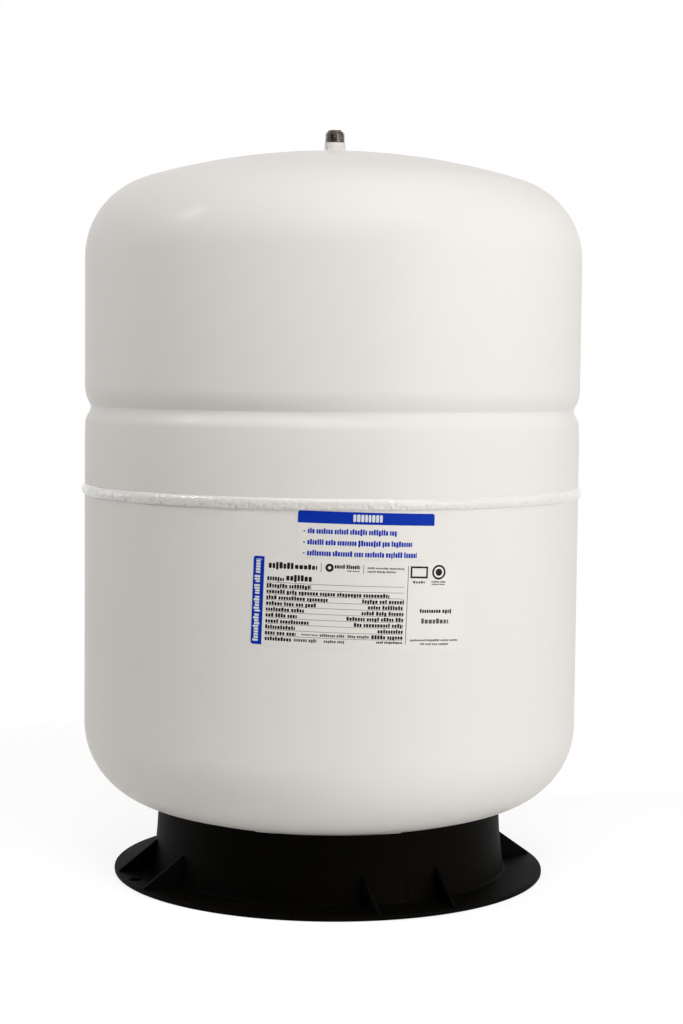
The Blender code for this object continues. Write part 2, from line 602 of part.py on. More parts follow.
def core_barrel(surface, carrier):
    """The valve core's plug and barrel, with two flats for its key."""
    outline = [(CORE_BORE_RADIUS, CORE_RECESS), (CORE_PLUG_RADIUS, CORE_RECESS),
               (CORE_PLUG_RADIUS, CORE_PLUG_END), (CORE_BARREL_RADIUS, CORE_PLUG_END),
               (CORE_BARREL_RADIUS, BARREL_END), (CORE_BORE_RADIUS, BARREL_END)]
    made = place(turned(outline, CORE_SEGMENTS), "valve_core_barrel", surface, carrier)
    for side in (-1, 1):
        bm = bmesh.new()
        centre = (side * (CORE_BARREL_RADIUS + CORE_PLUG_RADIUS / 2), 0.0, CORE_RECESS)
        size = Matrix.Diagonal((CORE_PLUG_RADIUS, 4 * CORE_PLUG_RADIUS, 2 * CORE_KEY_DEPTH, 1.0))
        bmesh.ops.create_cube(bm, size=1.0, matrix=Matrix.Translation(centre) @ size)
        combine(made, scratch_object(bm, f"key_flat_{side}", carrier), "DIFFERENCE")
    return made


def core_gasket(surface, carrier):
    """The sleeve that seals the core in its seat."""
    inner = CORE_BARREL_RADIUS + SEAL_GAP
    outer = CORE_SEAT_RADIUS - SEAL_GAP
    outline = [(inner, CORE_GASKET_BOTTOM), (outer, CORE_GASKET_BOTTOM),
               (outer, CORE_GASKET_TOP), (inner, CORE_GASKET_TOP)]
    return place(turned(outline, CORE_SEGMENTS), "valve_core_gasket", surface, carrier)


def core_pin(surface, carrier):
    """The pin with its plunger, which a gauge or a pump pushes in."""
    end = CORE_SEAT_DEPTH + PIN_OVERRUN
    outline = [(0.0, PIN_RECESS), (PIN_RADIUS, PIN_RECESS), (PIN_RADIUS, PLUNGER_BOTTOM),
               (CORE_BARREL_RADIUS, PLUNGER_BOTTOM), (CORE_BARREL_RADIUS, PLUNGER_TOP),
               (PIN_RADIUS, PLUNGER_TOP), (PIN_RADIUS, end), (0.0, end)]
    return place(turned(outline, CORE_SEGMENTS), "valve_core_pin", surface, carrier)


def core_seal(surface, carrier):
    """The rubber washer that the plunger holds against the barrel."""
    inner = PIN_RADIUS + SEAL_GAP
    outline = [(inner, CORE_SEAL_BOTTOM), (CORE_BARREL_RADIUS, CORE_SEAL_BOTTOM),
               (CORE_BARREL_RADIUS, CORE_SEAL_TOP), (inner, CORE_SEAL_TOP)]
    return place(turned(outline, CORE_SEGMENTS), "valve_core_seal", surface, carrier)


def spring_cup(surface, carrier):
    """The washer on the stem's shoulder that the core's spring pushes against."""
    outer = CORE_SEAT_RADIUS - SEAL_GAP
    outline = [(CORE_BORE_RADIUS, SPRING_CUP_BOTTOM), (outer, SPRING_CUP_BOTTOM),
               (outer, SPRING_CUP_TOP), (CORE_BORE_RADIUS, SPRING_CUP_TOP)]
    return place(turned(outline, CORE_SEGMENTS), "valve_core_spring_cup", surface, carrier)


def core_spring(surface, carrier):
    """The coil that closes the core, from the plunger to the spring cup."""
    low = PLUNGER_TOP + SEAL_GAP + SPRING_WIRE_RADIUS
    rise = SPRING_LENGTH - 2 * SPRING_WIRE_RADIUS
    count = SPRING_TURNS * SPRING_STEPS
    curve = bpy.data.curves.new("valve_core_spring", "CURVE")
    curve.dimensions = "3D"
    curve.bevel_depth = SPRING_WIRE_RADIUS
    curve.bevel_resolution = 1
    curve.use_fill_caps = True
    line = curve.splines.new("POLY")
    line.points.add(count)
    for k, point in enumerate(line.points):
        spot = polar(2 * pi * k / SPRING_STEPS, SPRING_COIL_RADIUS, low + rise * k / count)
        point.co = (*spot, 1.0)
    curve.materials.append(surface)
    made = bpy.data.objects.new("valve_core_spring", curve)
    made.parent = carrier
    bpy.context.scene.collection.objects.link(made)
    return made


def valve_cap(surface, carrier):
    """The ribbed cap, threaded along its whole skirt."""
    bore = STEM_RADIUS + CAP_THREAD_GAP
    outer = bore + CAP_WALL
    underside = -(CAP_SEAL_THICKNESS + 2 * FIT_GAP)
    head = underside - CAP_HEAD
    outline = [(0.0, head), (outer - CAP_RIB_DEPTH, head), (outer, head + CAP_RIB_DEPTH),
               (outer, CAP_SKIRT), (bore, CAP_SKIRT), (bore, underside), (0.0, underside)]
    bm = turned(outline, 2 * CORE_SEGMENTS)
    step = pi / CORE_SEGMENTS
    for vert in bm.verts:
        reach = vert.co.xy.length
        between_ribs = round(atan2(vert.co.y, vert.co.x) / step) % 2 == 1
        if between_ribs and reach > outer - CAP_RIB_DEPTH / 2:
            vert.co.xy *= (outer - CAP_RIB_DEPTH) / outer
    return place(bm, "valve_cap", surface, carrier)


def cap_seal(surface, carrier):
    """The disc in the cap's head that closes the stem's mouth."""
    radius = STEM_RADIUS
    outline = [(0.0, -FIT_GAP), (radius, -FIT_GAP), (radius, -FIT_GAP - CAP_SEAL_THICKNESS),
               (0.0, -FIT_GAP - CAP_SEAL_THICKNESS)]
    return place(turned(outline, CORE_SEGMENTS), "valve_cap_seal", surface, carrier)


# The labels

def label(name, width, height, tilt, shift, middle, surface, carrier):
    """A thin sheet with rounded corners, tilted a little and wrapped on the wall."""
    inner = TANK_RADIUS + FIT_GAP
    half_width = width / 2
    corner_angles = [pi / 2 * k / LABEL_CORNER_STEPS for k in range(LABEL_CORNER_STEPS + 1)]
    corner = [(LABEL_CORNER * (1 - cos(a)), LABEL_CORNER * (1 - sin(a))) for a in corner_angles]
    columns = [(-half_width + run, cut) for run, cut in corner]
    columns += [(-half_width + LABEL_CORNER + (width - 2 * LABEL_CORNER) * k / LABEL_STEPS, 0.0)
                for k in range(1, LABEL_STEPS)]
    columns += [(half_width - run, cut) for run, cut in corner[::-1]]
    bm = bmesh.new()
    loops = []
    for run, cut in columns:
        ends = [(run, -height / 2 + cut), (run, height / 2 - cut)]
        turned_ends = [(a * cos(tilt) - b * sin(tilt), a * sin(tilt) + b * cos(tilt)) for a, b in ends]
        corners = [polar((shift + a) / inner, radius, b)
                   for radius, pair in ((inner, turned_ends), (inner + LABEL_THICKNESS, turned_ends[::-1]))
                   for a, b in pair]
        loops.append([bm.verts.new(spot) for spot in corners])
    for one, two in zip(loops, loops[1:]):
        for k in range(4):
            bm.faces.new((one[k], one[(k + 1) % 4], two[(k + 1) % 4], two[k]))
    bm.faces.new(loops[0])
    bm.faces.new(loops[-1][::-1])
    made = place(bm, name, surface, carrier)
    made.location.z = middle
    return made


def labels(surface, carrier):
    """The two labels under the seam, the lower one below the upper one's foot."""
    upper_middle = SEAM_HEIGHT - UPPER_LABEL_BELOW_SEAM - UPPER_LABEL_HEIGHT / 2
    lower_top = upper_middle - UPPER_LABEL_HEIGHT / 2 - LOWER_LABEL_BELOW_UPPER
    label("upper_label", UPPER_LABEL_WIDTH, UPPER_LABEL_HEIGHT, UPPER_LABEL_TILT, UPPER_LABEL_SHIFT,
          upper_middle, surface, carrier)
    label("lower_label", LOWER_LABEL_WIDTH, LOWER_LABEL_HEIGHT, LOWER_LABEL_TILT, LOWER_LABEL_SHIFT,
          lower_top - LOWER_LABEL_HEIGHT / 2, surface, carrier)


def build():
    clear_scene()
    white_paint = finish("white_paint", (0.86, 0.84, 0.81), 0.25, 0.0)
    stainless = finish("stainless", (0.55, 0.53, 0.50), 0.30, 1.0)
    zinc_steel = finish("zinc_steel", (0.60, 0.60, 0.58), 0.40, 1.0)
    brass = finish("brass", (0.72, 0.56, 0.28), 0.35, 1.0)
    rubber = finish("rubber", (0.03, 0.03, 0.03), 0.70, 0.0)
    liner_plastic = finish("liner_plastic", (0.85, 0.87, 0.88), 0.45, 0.0)
    stand_plastic = finish("stand_plastic", (0.02, 0.02, 0.02), 0.50, 0.0)
    cap_plastic = finish("cap_plastic", (0.03, 0.03, 0.03), 0.40, 0.0)
    label_film = finish("label_film", (0.88, 0.87, 0.85), 0.35, 0.0)

    tank = datum("tank", 0.0)
    upper_shell(white_paint, tank)
    lower_shell(white_paint, tank)
    seam_weld(white_paint, tank)
    inlet_nipple(stainless, tank)
    inlet_seal(rubber, tank)
    clench_ring(zinc_steel, tank)
    liner(liner_plastic, tank)
    diaphragm(rubber, tank)
    stand(stand_plastic, tank)
    labels(label_film, tank)

    valve = datum("valve_tip", VALVE_TIP)
    valve_boss(zinc_steel, valve)
    valve_stem(brass, valve)
    stem_seal(rubber, valve)
    core_barrel(brass, valve)
    core_gasket(rubber, valve)
    core_pin(brass, valve)
    core_seal(rubber, valve)
    spring_cup(brass, valve)
    core_spring(stainless, valve)
    valve_cap(cap_plastic, valve)
    cap_seal(rubber, valve)


build()
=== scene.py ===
from math import asin, atan2, ceil, cos, floor, hypot, pi, radians, sin, sqrt
from random import Random
import bpy
from mathutils import Matrix, Vector, noise


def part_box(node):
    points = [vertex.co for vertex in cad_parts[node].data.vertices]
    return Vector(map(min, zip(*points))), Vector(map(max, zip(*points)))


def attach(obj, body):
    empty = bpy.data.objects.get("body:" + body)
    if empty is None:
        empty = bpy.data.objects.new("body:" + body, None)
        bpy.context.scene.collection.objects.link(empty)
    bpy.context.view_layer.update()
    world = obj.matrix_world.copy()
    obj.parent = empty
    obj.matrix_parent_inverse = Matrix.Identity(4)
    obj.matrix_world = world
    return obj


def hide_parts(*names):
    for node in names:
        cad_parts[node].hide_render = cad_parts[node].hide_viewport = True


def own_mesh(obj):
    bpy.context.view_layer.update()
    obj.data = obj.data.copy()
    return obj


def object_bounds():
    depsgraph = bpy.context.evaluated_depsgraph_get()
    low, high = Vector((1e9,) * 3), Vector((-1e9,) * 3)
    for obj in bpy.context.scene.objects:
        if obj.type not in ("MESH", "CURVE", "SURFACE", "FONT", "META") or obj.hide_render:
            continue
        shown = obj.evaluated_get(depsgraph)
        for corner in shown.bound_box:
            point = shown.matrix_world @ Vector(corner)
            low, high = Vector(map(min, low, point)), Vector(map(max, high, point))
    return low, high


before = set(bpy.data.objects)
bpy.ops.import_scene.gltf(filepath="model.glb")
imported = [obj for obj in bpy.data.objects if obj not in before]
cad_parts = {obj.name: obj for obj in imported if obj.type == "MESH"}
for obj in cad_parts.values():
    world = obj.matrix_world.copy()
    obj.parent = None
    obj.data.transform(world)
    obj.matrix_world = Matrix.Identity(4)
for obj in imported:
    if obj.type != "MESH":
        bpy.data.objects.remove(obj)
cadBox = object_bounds()
print("frame loaded")

# The camera stands where the photograph was taken from
view = {
    "place": (0.0, -1.4077, 0.3406),
    "lookDown": radians(3.950),
    "lookRight": radians(0.279),
    "roll": radians(0.582),
    "focalPixels": 2081.3,
    "imageHeight": 1024,
    "sensor": 36.0,
}


def addCamera():
    bpy.ops.object.camera_add(location=view["place"])
    camera = bpy.context.object
    camera.data.sensor_fit = "VERTICAL"
    camera.data.sensor_height = view["sensor"]
    camera.data.lens = view["focalPixels"] / view["imageHeight"] * view["sensor"]
    camera.data.clip_start = 0.01
    aim = Matrix.Rotation(-view["lookRight"], 4, "Z") @ Matrix.Rotation(pi / 2 - view["lookDown"], 4, "X")
    camera.matrix_world = Matrix.Translation(view["place"]) @ aim @ Matrix.Rotation(view["roll"], 4, "Z")
    bpy.context.scene.camera = camera


addCamera()
print("camera placed")


# Shader maths

class Wire:  # a socket in a node tree, so that sums of sockets can be written as sums
    def __init__(self, nodes, socket):
        self.nodes = nodes
        self.socket = socket

    def __add__(self, other):
        return self.nodes.maths("ADD", self, other)

    def __radd__(self, other):
        return self.nodes.maths("ADD", other, self)

    def __sub__(self, other):
        return self.nodes.maths("SUBTRACT", self, other)

    def __rsub__(self, other):
        return self.nodes.maths("SUBTRACT", other, self)

    def __mul__(self, other):
        return self.nodes.maths("MULTIPLY", self, other)

    def __rmul__(self, other):
        return self.nodes.maths("MULTIPLY", other, self)


class Nodes:  # makes the nodes of one tree
    def __init__(self, tree):
        self.tree = tree

    def add(self, kind, settings, sockets, output=0):
        made = self.tree.nodes.new("ShaderNode" + kind)
        for name, value in settings.items():
            setattr(made, name, value)
        for name, value in sockets.items():
            self.feed(made.inputs[name], value)
        return Wire(self, made.outputs[output])

    def feed(self, socket, value):
        if isinstance(value, Wire):
            self.tree.links.new(value.socket, socket)
        else:
            socket.default_value = value

    def maths(self, operation, one, two):
        return self.add("Math", {"operation": operation}, {0: one, 1: two})

    def blend(self, share, one, two):
        return self.add("Mix", {"data_type": "RGBA"}, {0: share, 6: one, 7: two}, 2)

    def spots(self, where, scale, detail=2.0, rough=0.5):
        return self.add("TexNoise", {},
                        {"Vector": where, "Scale": scale, "Detail": detail, "Roughness": rough})

    def stretched(self, where, scale):
        return self.add("Mapping", {}, {"Vector": where, "Scale": scale})

    def step(self, value, low, high):
        return self.add("MapRange", {"interpolation_type": "SMOOTHSTEP"},
                        {"Value": value, "From Min": low, "From Max": high})


def newFinish(name, fixed):
    made = bpy.data.materials.new(name)
    made.use_nodes = True
    nodes = Nodes(made.node_tree)
    for socket, value in fixed.items():
        made.node_tree.nodes["Principled BSDF"].inputs[socket].default_value = value
    return made, nodes, nodes.add("TexCoord", {}, {}, "Object")


def dress(made, nodes, colour, gloss, relief, height):
    # what changes over the surface: its colour, its gloss and its fine relief
    bump = nodes.add("Bump", {}, {"Strength": 1.0, "Distance": height, "Height": relief})
    shader = made.node_tree.nodes["Principled BSDF"]
    for socket, value in (("Base Color", colour), ("Roughness", gloss), ("Normal", bump)):
        nodes.feed(shader.inputs[socket], value)
    return made


paint = {
    "tone": (0.838, 0.816, 0.792, 1.0),
    "otherTone": (0.822, 0.798, 0.773, 1.0),
    "cloudScale": 7.0,
    "gloss": 0.42,
    "glossChange": 0.07,
    "shine": 0.05,
    "coat": 0.05,
    "coatGloss": 0.11,
    "beadGloss": 0.22,
    "beadCoat": 0.85,
    "beadCoatGloss": 0.045,
    "peelScale": 330.0,
    "peelHeight": 0.000030,
    "grainScale": 2600.0,
    "grainShare": 0.12,
}


def powderCoat(name, gloss, coat, coatGloss, peelHeight):
    made, nodes, where = newFinish(name, {"Metallic": 0.0, "Specular IOR Level": paint["shine"],
                                          "Coat Weight": coat, "Coat Roughness": coatGloss})
    cloud = nodes.spots(where, paint["cloudScale"], 3.0)
    peel = nodes.spots(where, paint["peelScale"], 1.5)
    grain = nodes.spots(where, paint["grainScale"], 1.0)
    return dress(made, nodes, nodes.blend(cloud, paint["tone"], paint["otherTone"]),
                 gloss + paint["glossChange"] * (cloud - 0.5), peel + paint["grainShare"] * grain, peelHeight)


steel = {
    "tone": (0.34, 0.31, 0.275, 1.0),
    "darkTone": (0.12, 0.105, 0.09, 1.0),
    "gloss": 0.15,
    "glossChange": 0.14,
    "turnScale": (60.0, 60.0, 5200.0),
    "turnHeight": 0.00002,
    "stainScale": 260.0,
    "stainShare": 0.6,
    "stainEdge": (0.35, 0.68),
}


def bareSteel():
    made, nodes, where = newFinish("bare_steel", {"Metallic": 1.0})
    rings = nodes.spots(nodes.stretched(where, steel["turnScale"]), 1.0, 2.0)
    stain = nodes.spots(where, steel["stainScale"], 3.0)
    stained = nodes.step(stain * steel["stainShare"] + rings * (1 - steel["stainShare"]), *steel["stainEdge"])
    return dress(made, nodes, nodes.blend(stained, steel["darkTone"], steel["tone"]),
                 steel["gloss"] + steel["glossChange"] * rings, rings, steel["turnHeight"])


zinc = {
    "tone": (0.58, 0.57, 0.54, 1.0),
    "otherTone": (0.40, 0.40, 0.37, 1.0),
    "gloss": 0.34,
    "glossChange": 0.16,
    "flakeScale": 420.0,
    "grainScale": 900.0,
    "grainHeight": 0.00002,
}


def zincPlate():
    made, nodes, where = newFinish("zinc_plate", {"Metallic": 1.0})
    flakes = nodes.add("TexVoronoi", {"feature": "SMOOTH_F1"},
                       {"Vector": where, "Scale": zinc["flakeScale"]}, "Color")
    grey = nodes.add("RGBToBW", {}, {"Color": flakes})
    return dress(made, nodes, nodes.blend(grey, zinc["tone"], zinc["otherTone"]),
                 zinc["gloss"] + zinc["glossChange"] * grey,
                 nodes.spots(where, zinc["grainScale"]), zinc["grainHeight"])


brassLook = {
    "tone": (0.66, 0.47, 0.20, 1.0),
    "dullTone": (0.40, 0.27, 0.12, 1.0),
    "gloss": 0.24,
    "glossChange": 0.16,
    "dullGloss": 0.12,
    "dullScale": 240.0,
    "dullEdge": (0.42, 0.66),
    "turnScale": (40.0, 40.0, 4600.0),
    "turnHeight": 0.000015,
}


def turnedBrass():
    made, nodes, where = newFinish("turned_brass", {"Metallic": 1.0})
    rings = nodes.spots(nodes.stretched(where, brassLook["turnScale"]), 1.0, 2.0)
    dull = nodes.step(nodes.spots(where, brassLook["dullScale"], 3.0), *brassLook["dullEdge"])
    gloss = brassLook["gloss"] + brassLook["glossChange"] * rings + brassLook["dullGloss"] * dull
    return dress(made, nodes, nodes.blend(dull, brassLook["tone"], brassLook["dullTone"]),
                 gloss, rings, brassLook["turnHeight"])


rubberLook = {"shine": 0.3, "bloomScale": 60.0, "bloomEdge": (0.4, 0.75), "gloss": 0.62, "glossChange": 0.14}


def rubber(name, tone):
    made, nodes, where = newFinish(name, {"Metallic": 0.0, "Specular IOR Level": rubberLook["shine"]})
    bloom = nodes.spots(where, rubberLook["bloomScale"], 4.0)
    pale = tuple(part * 1.7 + 0.006 for part in tone[:3]) + (1.0,)
    return dress(made, nodes, nodes.blend(nodes.step(bloom, *rubberLook["bloomEdge"]), tone, pale),
                 rubberLook["gloss"] + rubberLook["glossChange"] * bloom, nodes.spots(where, 1400.0), 0.00004)


def softPlastic(name, tone, otherTone, gloss):
    made, nodes, where = newFinish(name, {"Metallic": 0.0})
    flow = nodes.spots(nodes.stretched(where, (9.0, 9.0, 30.0)), 1.0, 3.0)
    return dress(made, nodes, nodes.blend(flow, tone, otherTone), gloss + 0.1 * flow,
                 nodes.spots(where, 1100.0), 0.00003)


black = {
    "tone": (0.0020, 0.0017, 0.0012, 1.0),
    "otherTone": (0.0034, 0.0029, 0.0023, 1.0),
    "gloss": 0.48,
    "shine": 0.018,
    "grainScale": 1500.0,
    "grainHeight": 0.00005,
    "flowScale": (22.0, 22.0, 60.0),
    "flowGloss": 0.12,
    "scuffScale": 140.0,
    "scuffEdge": (0.60, 0.78),
    "scuffGloss": 0.10,
}


def mouldedBlack(name, gloss):
    made, nodes, where = newFinish(name, {"Metallic": 0.0, "Specular IOR Level": black["shine"]})
    flow = nodes.spots(nodes.stretched(where, black["flowScale"]), 1.0, 3.0)
    scuff = nodes.step(nodes.spots(where, black["scuffScale"], 5.0, 0.6), *black["scuffEdge"])
    grain = nodes.spots(where, black["grainScale"])
    return dress(made, nodes, nodes.blend(flow, black["tone"], black["otherTone"]),
                 gloss + black["flowGloss"] * flow + black["scuffGloss"] * scuff,
                 grain + 0.5 * scuff, black["grainHeight"])


def printed(name, tone, gloss, shine):
    made, nodes, where = newFinish(name, {"Metallic": 0.0, "Specular IOR Level": shine})
    speckle = nodes.spots(where, 2200.0)
    cloud = nodes.spots(where, 45.0)
    lighter = tuple(min(1.0, part * 1.12 + 0.004) for part in tone) + (1.0,)
    return dress(made, nodes, nodes.blend(speckle * 0.6 + cloud * 0.4, (*tone, 1.0), lighter),
                 gloss + 0.08 * cloud, speckle, 0.000008)


whitePaint = powderCoat("white_paint_coat", paint["gloss"], paint["coat"], paint["coatGloss"],
                        paint["peelHeight"])
beadPaint = powderCoat("white_paint_on_weld", paint["beadGloss"], paint["beadCoat"], paint["beadCoatGloss"],
                       2 * paint["peelHeight"])
steelFinish = bareSteel()
zincFinish = zincPlate()
brassFinish = turnedBrass()
blackRubber = rubber("black_rubber", (0.016, 0.016, 0.017, 1.0))
greyRubber = rubber("grey_rubber", (0.030, 0.031, 0.033, 1.0))
linerFinish = softPlastic("milky_plastic", (0.78, 0.80, 0.80, 1.0), (0.70, 0.74, 0.76, 1.0), 0.36)
standFinish = mouldedBlack("black_moulding", black["gloss"])
capFinish = mouldedBlack("black_cap", 0.34)
filmFinish = printed("label_film_sheet", (0.790, 0.765, 0.735), 0.30, 0.3)
blueInk = printed("blue_ink", (0.0030, 0.032, 0.385), 0.34, 0.03)
darkInk = printed("dark_ink", (0.014, 0.013, 0.015), 0.36, 0.08)
greyInk = printed("grey_ink", (0.10, 0.095, 0.095), 0.36, 0.1)
whiteInk = printed("white_ink", (0.70, 0.71, 0.73), 0.34, 0.1)
print("finishes made")


# Modelling steps that the pieces share

def editMode():
    bpy.ops.object.mode_set(mode="EDIT")


def objectMode():
    bpy.ops.object.mode_set(mode="OBJECT")


def selectMesh():
    bpy.ops.mesh.select_all(action="SELECT")


def deselectAll():
    if bpy.context.object and bpy.context.object.mode != "OBJECT":
        objectMode()
    bpy.ops.object.select_all(action="DESELECT")


def selectOnly(piece):
    deselectAll()
    piece.select_set(True)
    bpy.context.view_layer.objects.active = piece


def applyModifier(piece, kind, settings):
    selectOnly(piece)
    change = piece.modifiers.new(kind.lower(), kind)
    for name, value in settings.items():
        setattr(change, name, value)
    bpy.ops.object.modifier_apply(modifier=change.name)


def editAll(piece, *actions):
    selectOnly(piece)
    editMode()
    selectMesh()
    for action in actions:
        action()
    objectMode()


def outwards():
    bpy.ops.mesh.normals_make_consistent(inside=False)


def mergeDoubles():
    bpy.ops.mesh.remove_doubles(threshold=0.000001)


def named(name):
    piece = bpy.context.object
    piece.name = name
    piece.data.name = name
    return piece


def addCylinder(vertices, radius, depth, place):
    deselectAll()
    bpy.ops.mesh.primitive_cylinder_add(vertices=vertices, radius=radius, depth=depth, location=place)
    bpy.ops.object.transform_apply(location=True, rotation=True, scale=True)
    return bpy.context.object


def joinUp(piece, other, operation):
    applyModifier(piece, "BOOLEAN", {"object": other, "operation": operation, "solver": "EXACT"})
    bpy.data.objects.remove(other)


def drawOutline(name, points, closed):
    deselectAll()
    bpy.ops.mesh.primitive_plane_add(size=0.01)
    piece = named(name)
    editMode()
    bpy.ops.mesh.select_mode(type="VERT")
    selectMesh()
    bpy.ops.mesh.merge(type="CENTER")
    here = Vector((0.0, 0.0, 0.0))
    for count, (reach, height) in enumerate(points):
        there = Vector((reach, 0.0, height))
        if count == 0:
            bpy.ops.transform.translate(value=there - here)
        else:
            bpy.ops.mesh.extrude_vertices_move(TRANSFORM_OT_translate={"value": there - here})
        here = there
    if closed:
        objectMode()
        piece.data.vertices[0].select = True
        editMode()
        bpy.ops.mesh.edge_face_add()
    return piece


def turnOutline(name, points, steps, closed=True):
    piece = drawOutline(name, points, closed)
    selectMesh()
    bpy.ops.mesh.spin(steps=steps, angle=2 * pi, center=(0, 0, 0), axis=(0, 0, 1))
    editAll(piece, mergeDoubles, outwards)
    return piece


def smooth(piece, angle=30):
    selectOnly(piece)
    bpy.ops.object.shade_smooth_by_angle(angle=radians(angle))


def hand(piece, body, node, finish):
    piece.data.materials.clear()
    piece.data.materials.append(finish)
    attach(piece, body)
    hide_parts(node)


def arc(centre, radius, first, last, steps):
    turns = [first + (last - first) * k / steps for k in range(steps + 1)]
    return [(centre[0] + radius * sin(a), centre[1] + radius * cos(a)) for a in turns]


def walls(*uprights):
    # the corners of an outline from its upright walls, each with its radius, its start and its end
    return [corner for radius, start, end in uprights for corner in ((radius, start), (radius, end))]


def midHeight(node):
    low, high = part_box(node)
    return (low.z + high.z) / 2


# The pressed shells
tank = {
    "radius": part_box("lower_shell")[1].x,
    "wall": 0.0012,
    "crownRadius": 0.434,
    "knuckleRadius": 0.054,
    "bossHole": 0.0083,
    "nippleHole": 0.0073,
    "segments": 288,
    "crownSteps": 26,
    "knuckleSteps": 22,
}
groove = {
    "height": midHeight("clench_ring"),
    "depth": 0.0041,
    "reachAbove": 0.0128,
    "curlAbove": 1.9,
    "reachBelow": 0.0106,
    "curlBelow": 2.5,
    "slack": 0.0010,
    "slackReach": 0.0260,
    "valleyRound": 0.0003,
    "steps": 96,
}
seam = {
    "height": midHeight("seam_weld"),
    "rootHalf": 0.001,
    "overlap": 0.008,
    "setIn": 0.0015,
}
knuckleCentre = tank["radius"] - tank["knuckleRadius"]
centreDrop = sqrt((tank["crownRadius"] - tank["knuckleRadius"]) ** 2 - knuckleCentre ** 2)
domeDepth = tank["crownRadius"] - centreDrop


def crownSag(radius):
    return tank["crownRadius"] - sqrt(tank["crownRadius"] ** 2 - radius ** 2)


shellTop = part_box("upper_shell")[1].z + crownSag(tank["nippleHole"])
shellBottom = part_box("lower_shell")[0].z - crownSag(tank["bossHole"])
upperTangent = shellTop - domeDepth
lowerTangent = shellBottom + domeDepth


def domeOutline(startRadius):
    meeting = asin(knuckleCentre / (tank["crownRadius"] - tank["knuckleRadius"]))
    first = asin(startRadius / tank["crownRadius"])
    crown = arc((0.0, -centreDrop), tank["crownRadius"], first, meeting, tank["crownSteps"])
    knuckle = arc((knuckleCentre, 0.0), tank["knuckleRadius"], meeting, pi / 2, tank["knuckleSteps"])
    return crown + knuckle[1:]


def domeHeight(radius):
    meeting = tank["crownRadius"] * knuckleCentre / (tank["crownRadius"] - tank["knuckleRadius"])
    if radius < meeting:
        return sqrt(tank["crownRadius"] ** 2 - radius ** 2) - centreDrop
    return sqrt(tank["knuckleRadius"] ** 2 - (radius - knuckleCentre) ** 2)


def grooveInset(above):
    # the wall curls in to a crease from above, rolls out of it below and then straightens slowly
    if above > 0:
        share = (hypot(above, groove["valleyRound"]) - groove["valleyRound"]) / groove["reachAbove"]
        return groove["depth"] * max(0.0, 1 - share) ** groove["curlAbove"]
    share = max(0.0, 1 - (above / groove["reachBelow"]) ** 2)
    roll = (groove["depth"] - groove["slack"]) * share ** groove["curlBelow"]
    return roll + groove["slack"] * max(0.0, 1 + above / groove["slackReach"]) ** 2


def pressShell(name, outline, node):
    piece = turnOutline(name, outline, tank["segments"], closed=False)
    facesOut(piece)
    applyModifier(piece, "SOLIDIFY", {"thickness": tank["wall"], "offset": -1.0, "use_even_offset": True})
    smooth(piece, 40)
    hand(piece, "tank", node, whitePaint)


def makeUpperShell():
    outline = [(r, upperTangent + h) for r, h in domeOutline(tank["nippleHole"])]
    for k in range(groove["steps"] + 1):
        above = groove["reachAbove"] - (groove["reachAbove"] + groove["slackReach"]) * k / groove["steps"]
        outline.append((tank["radius"] - grooveInset(above), groove["height"] + above))
    rimTop = seam["height"] + seam["rootHalf"]
    inside = tank["radius"] - seam["setIn"]
    outline += [(tank["radius"], rimTop + seam["setIn"]), (inside, rimTop)]
    outline += [(inside, seam["height"] - seam["rootHalf"] - seam["overlap"])]
    pressShell("upper_shell_pressing", outline, "upper_shell")


def makeLowerShell():
    outline = [(r, lowerTangent - h) for r, h in domeOutline(tank["bossHole"])]
    outline += [(tank["radius"], seam["height"] - seam["rootHalf"])]
    pressShell("lower_shell_pressing", outline, "lower_shell")


def facesOut(piece):
    # an open shell can come out of the recalculation inside out
    middle = Vector((0.0, 0.0, (lowerTangent + upperTangent) / 2))
    outward = sum((face.center - middle).dot(face.normal) for face in piece.data.polygons)
    if outward < 0:
        editAll(piece, bpy.ops.mesh.flip_normals)


makeUpperShell()
makeLowerShell()
print("shells pressed")

# The weld between them
weld = {
    "proud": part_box("seam_weld")[1].x - tank["radius"],
    "tall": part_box("seam_weld")[1].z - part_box("seam_weld")[0].z,
    "steps": 2000,
    "sectionSteps": 18,
    "bury": 0.0004,
    "lean": -0.08,
    "roundAbove": 1.4,
    "roundBelow": 0.9,
    "wander": 0.00035,
    "wanderLength": 0.011,
    "lump": 0.00046,
    "lumpLength": 0.0034,
    "lumpSunk": 0.35,
    "calmAbove": 0.35,
    "rippleAbove": 0.35,
    "ripple": 0.00026,
    "rippleLength": 0.0019,
    "wave": 0.00030,
    "waveLength": 0.0026,
    "pit": 0.0011,
    "pitLength": 0.0016,
    "pitFrom": 0.25,
}


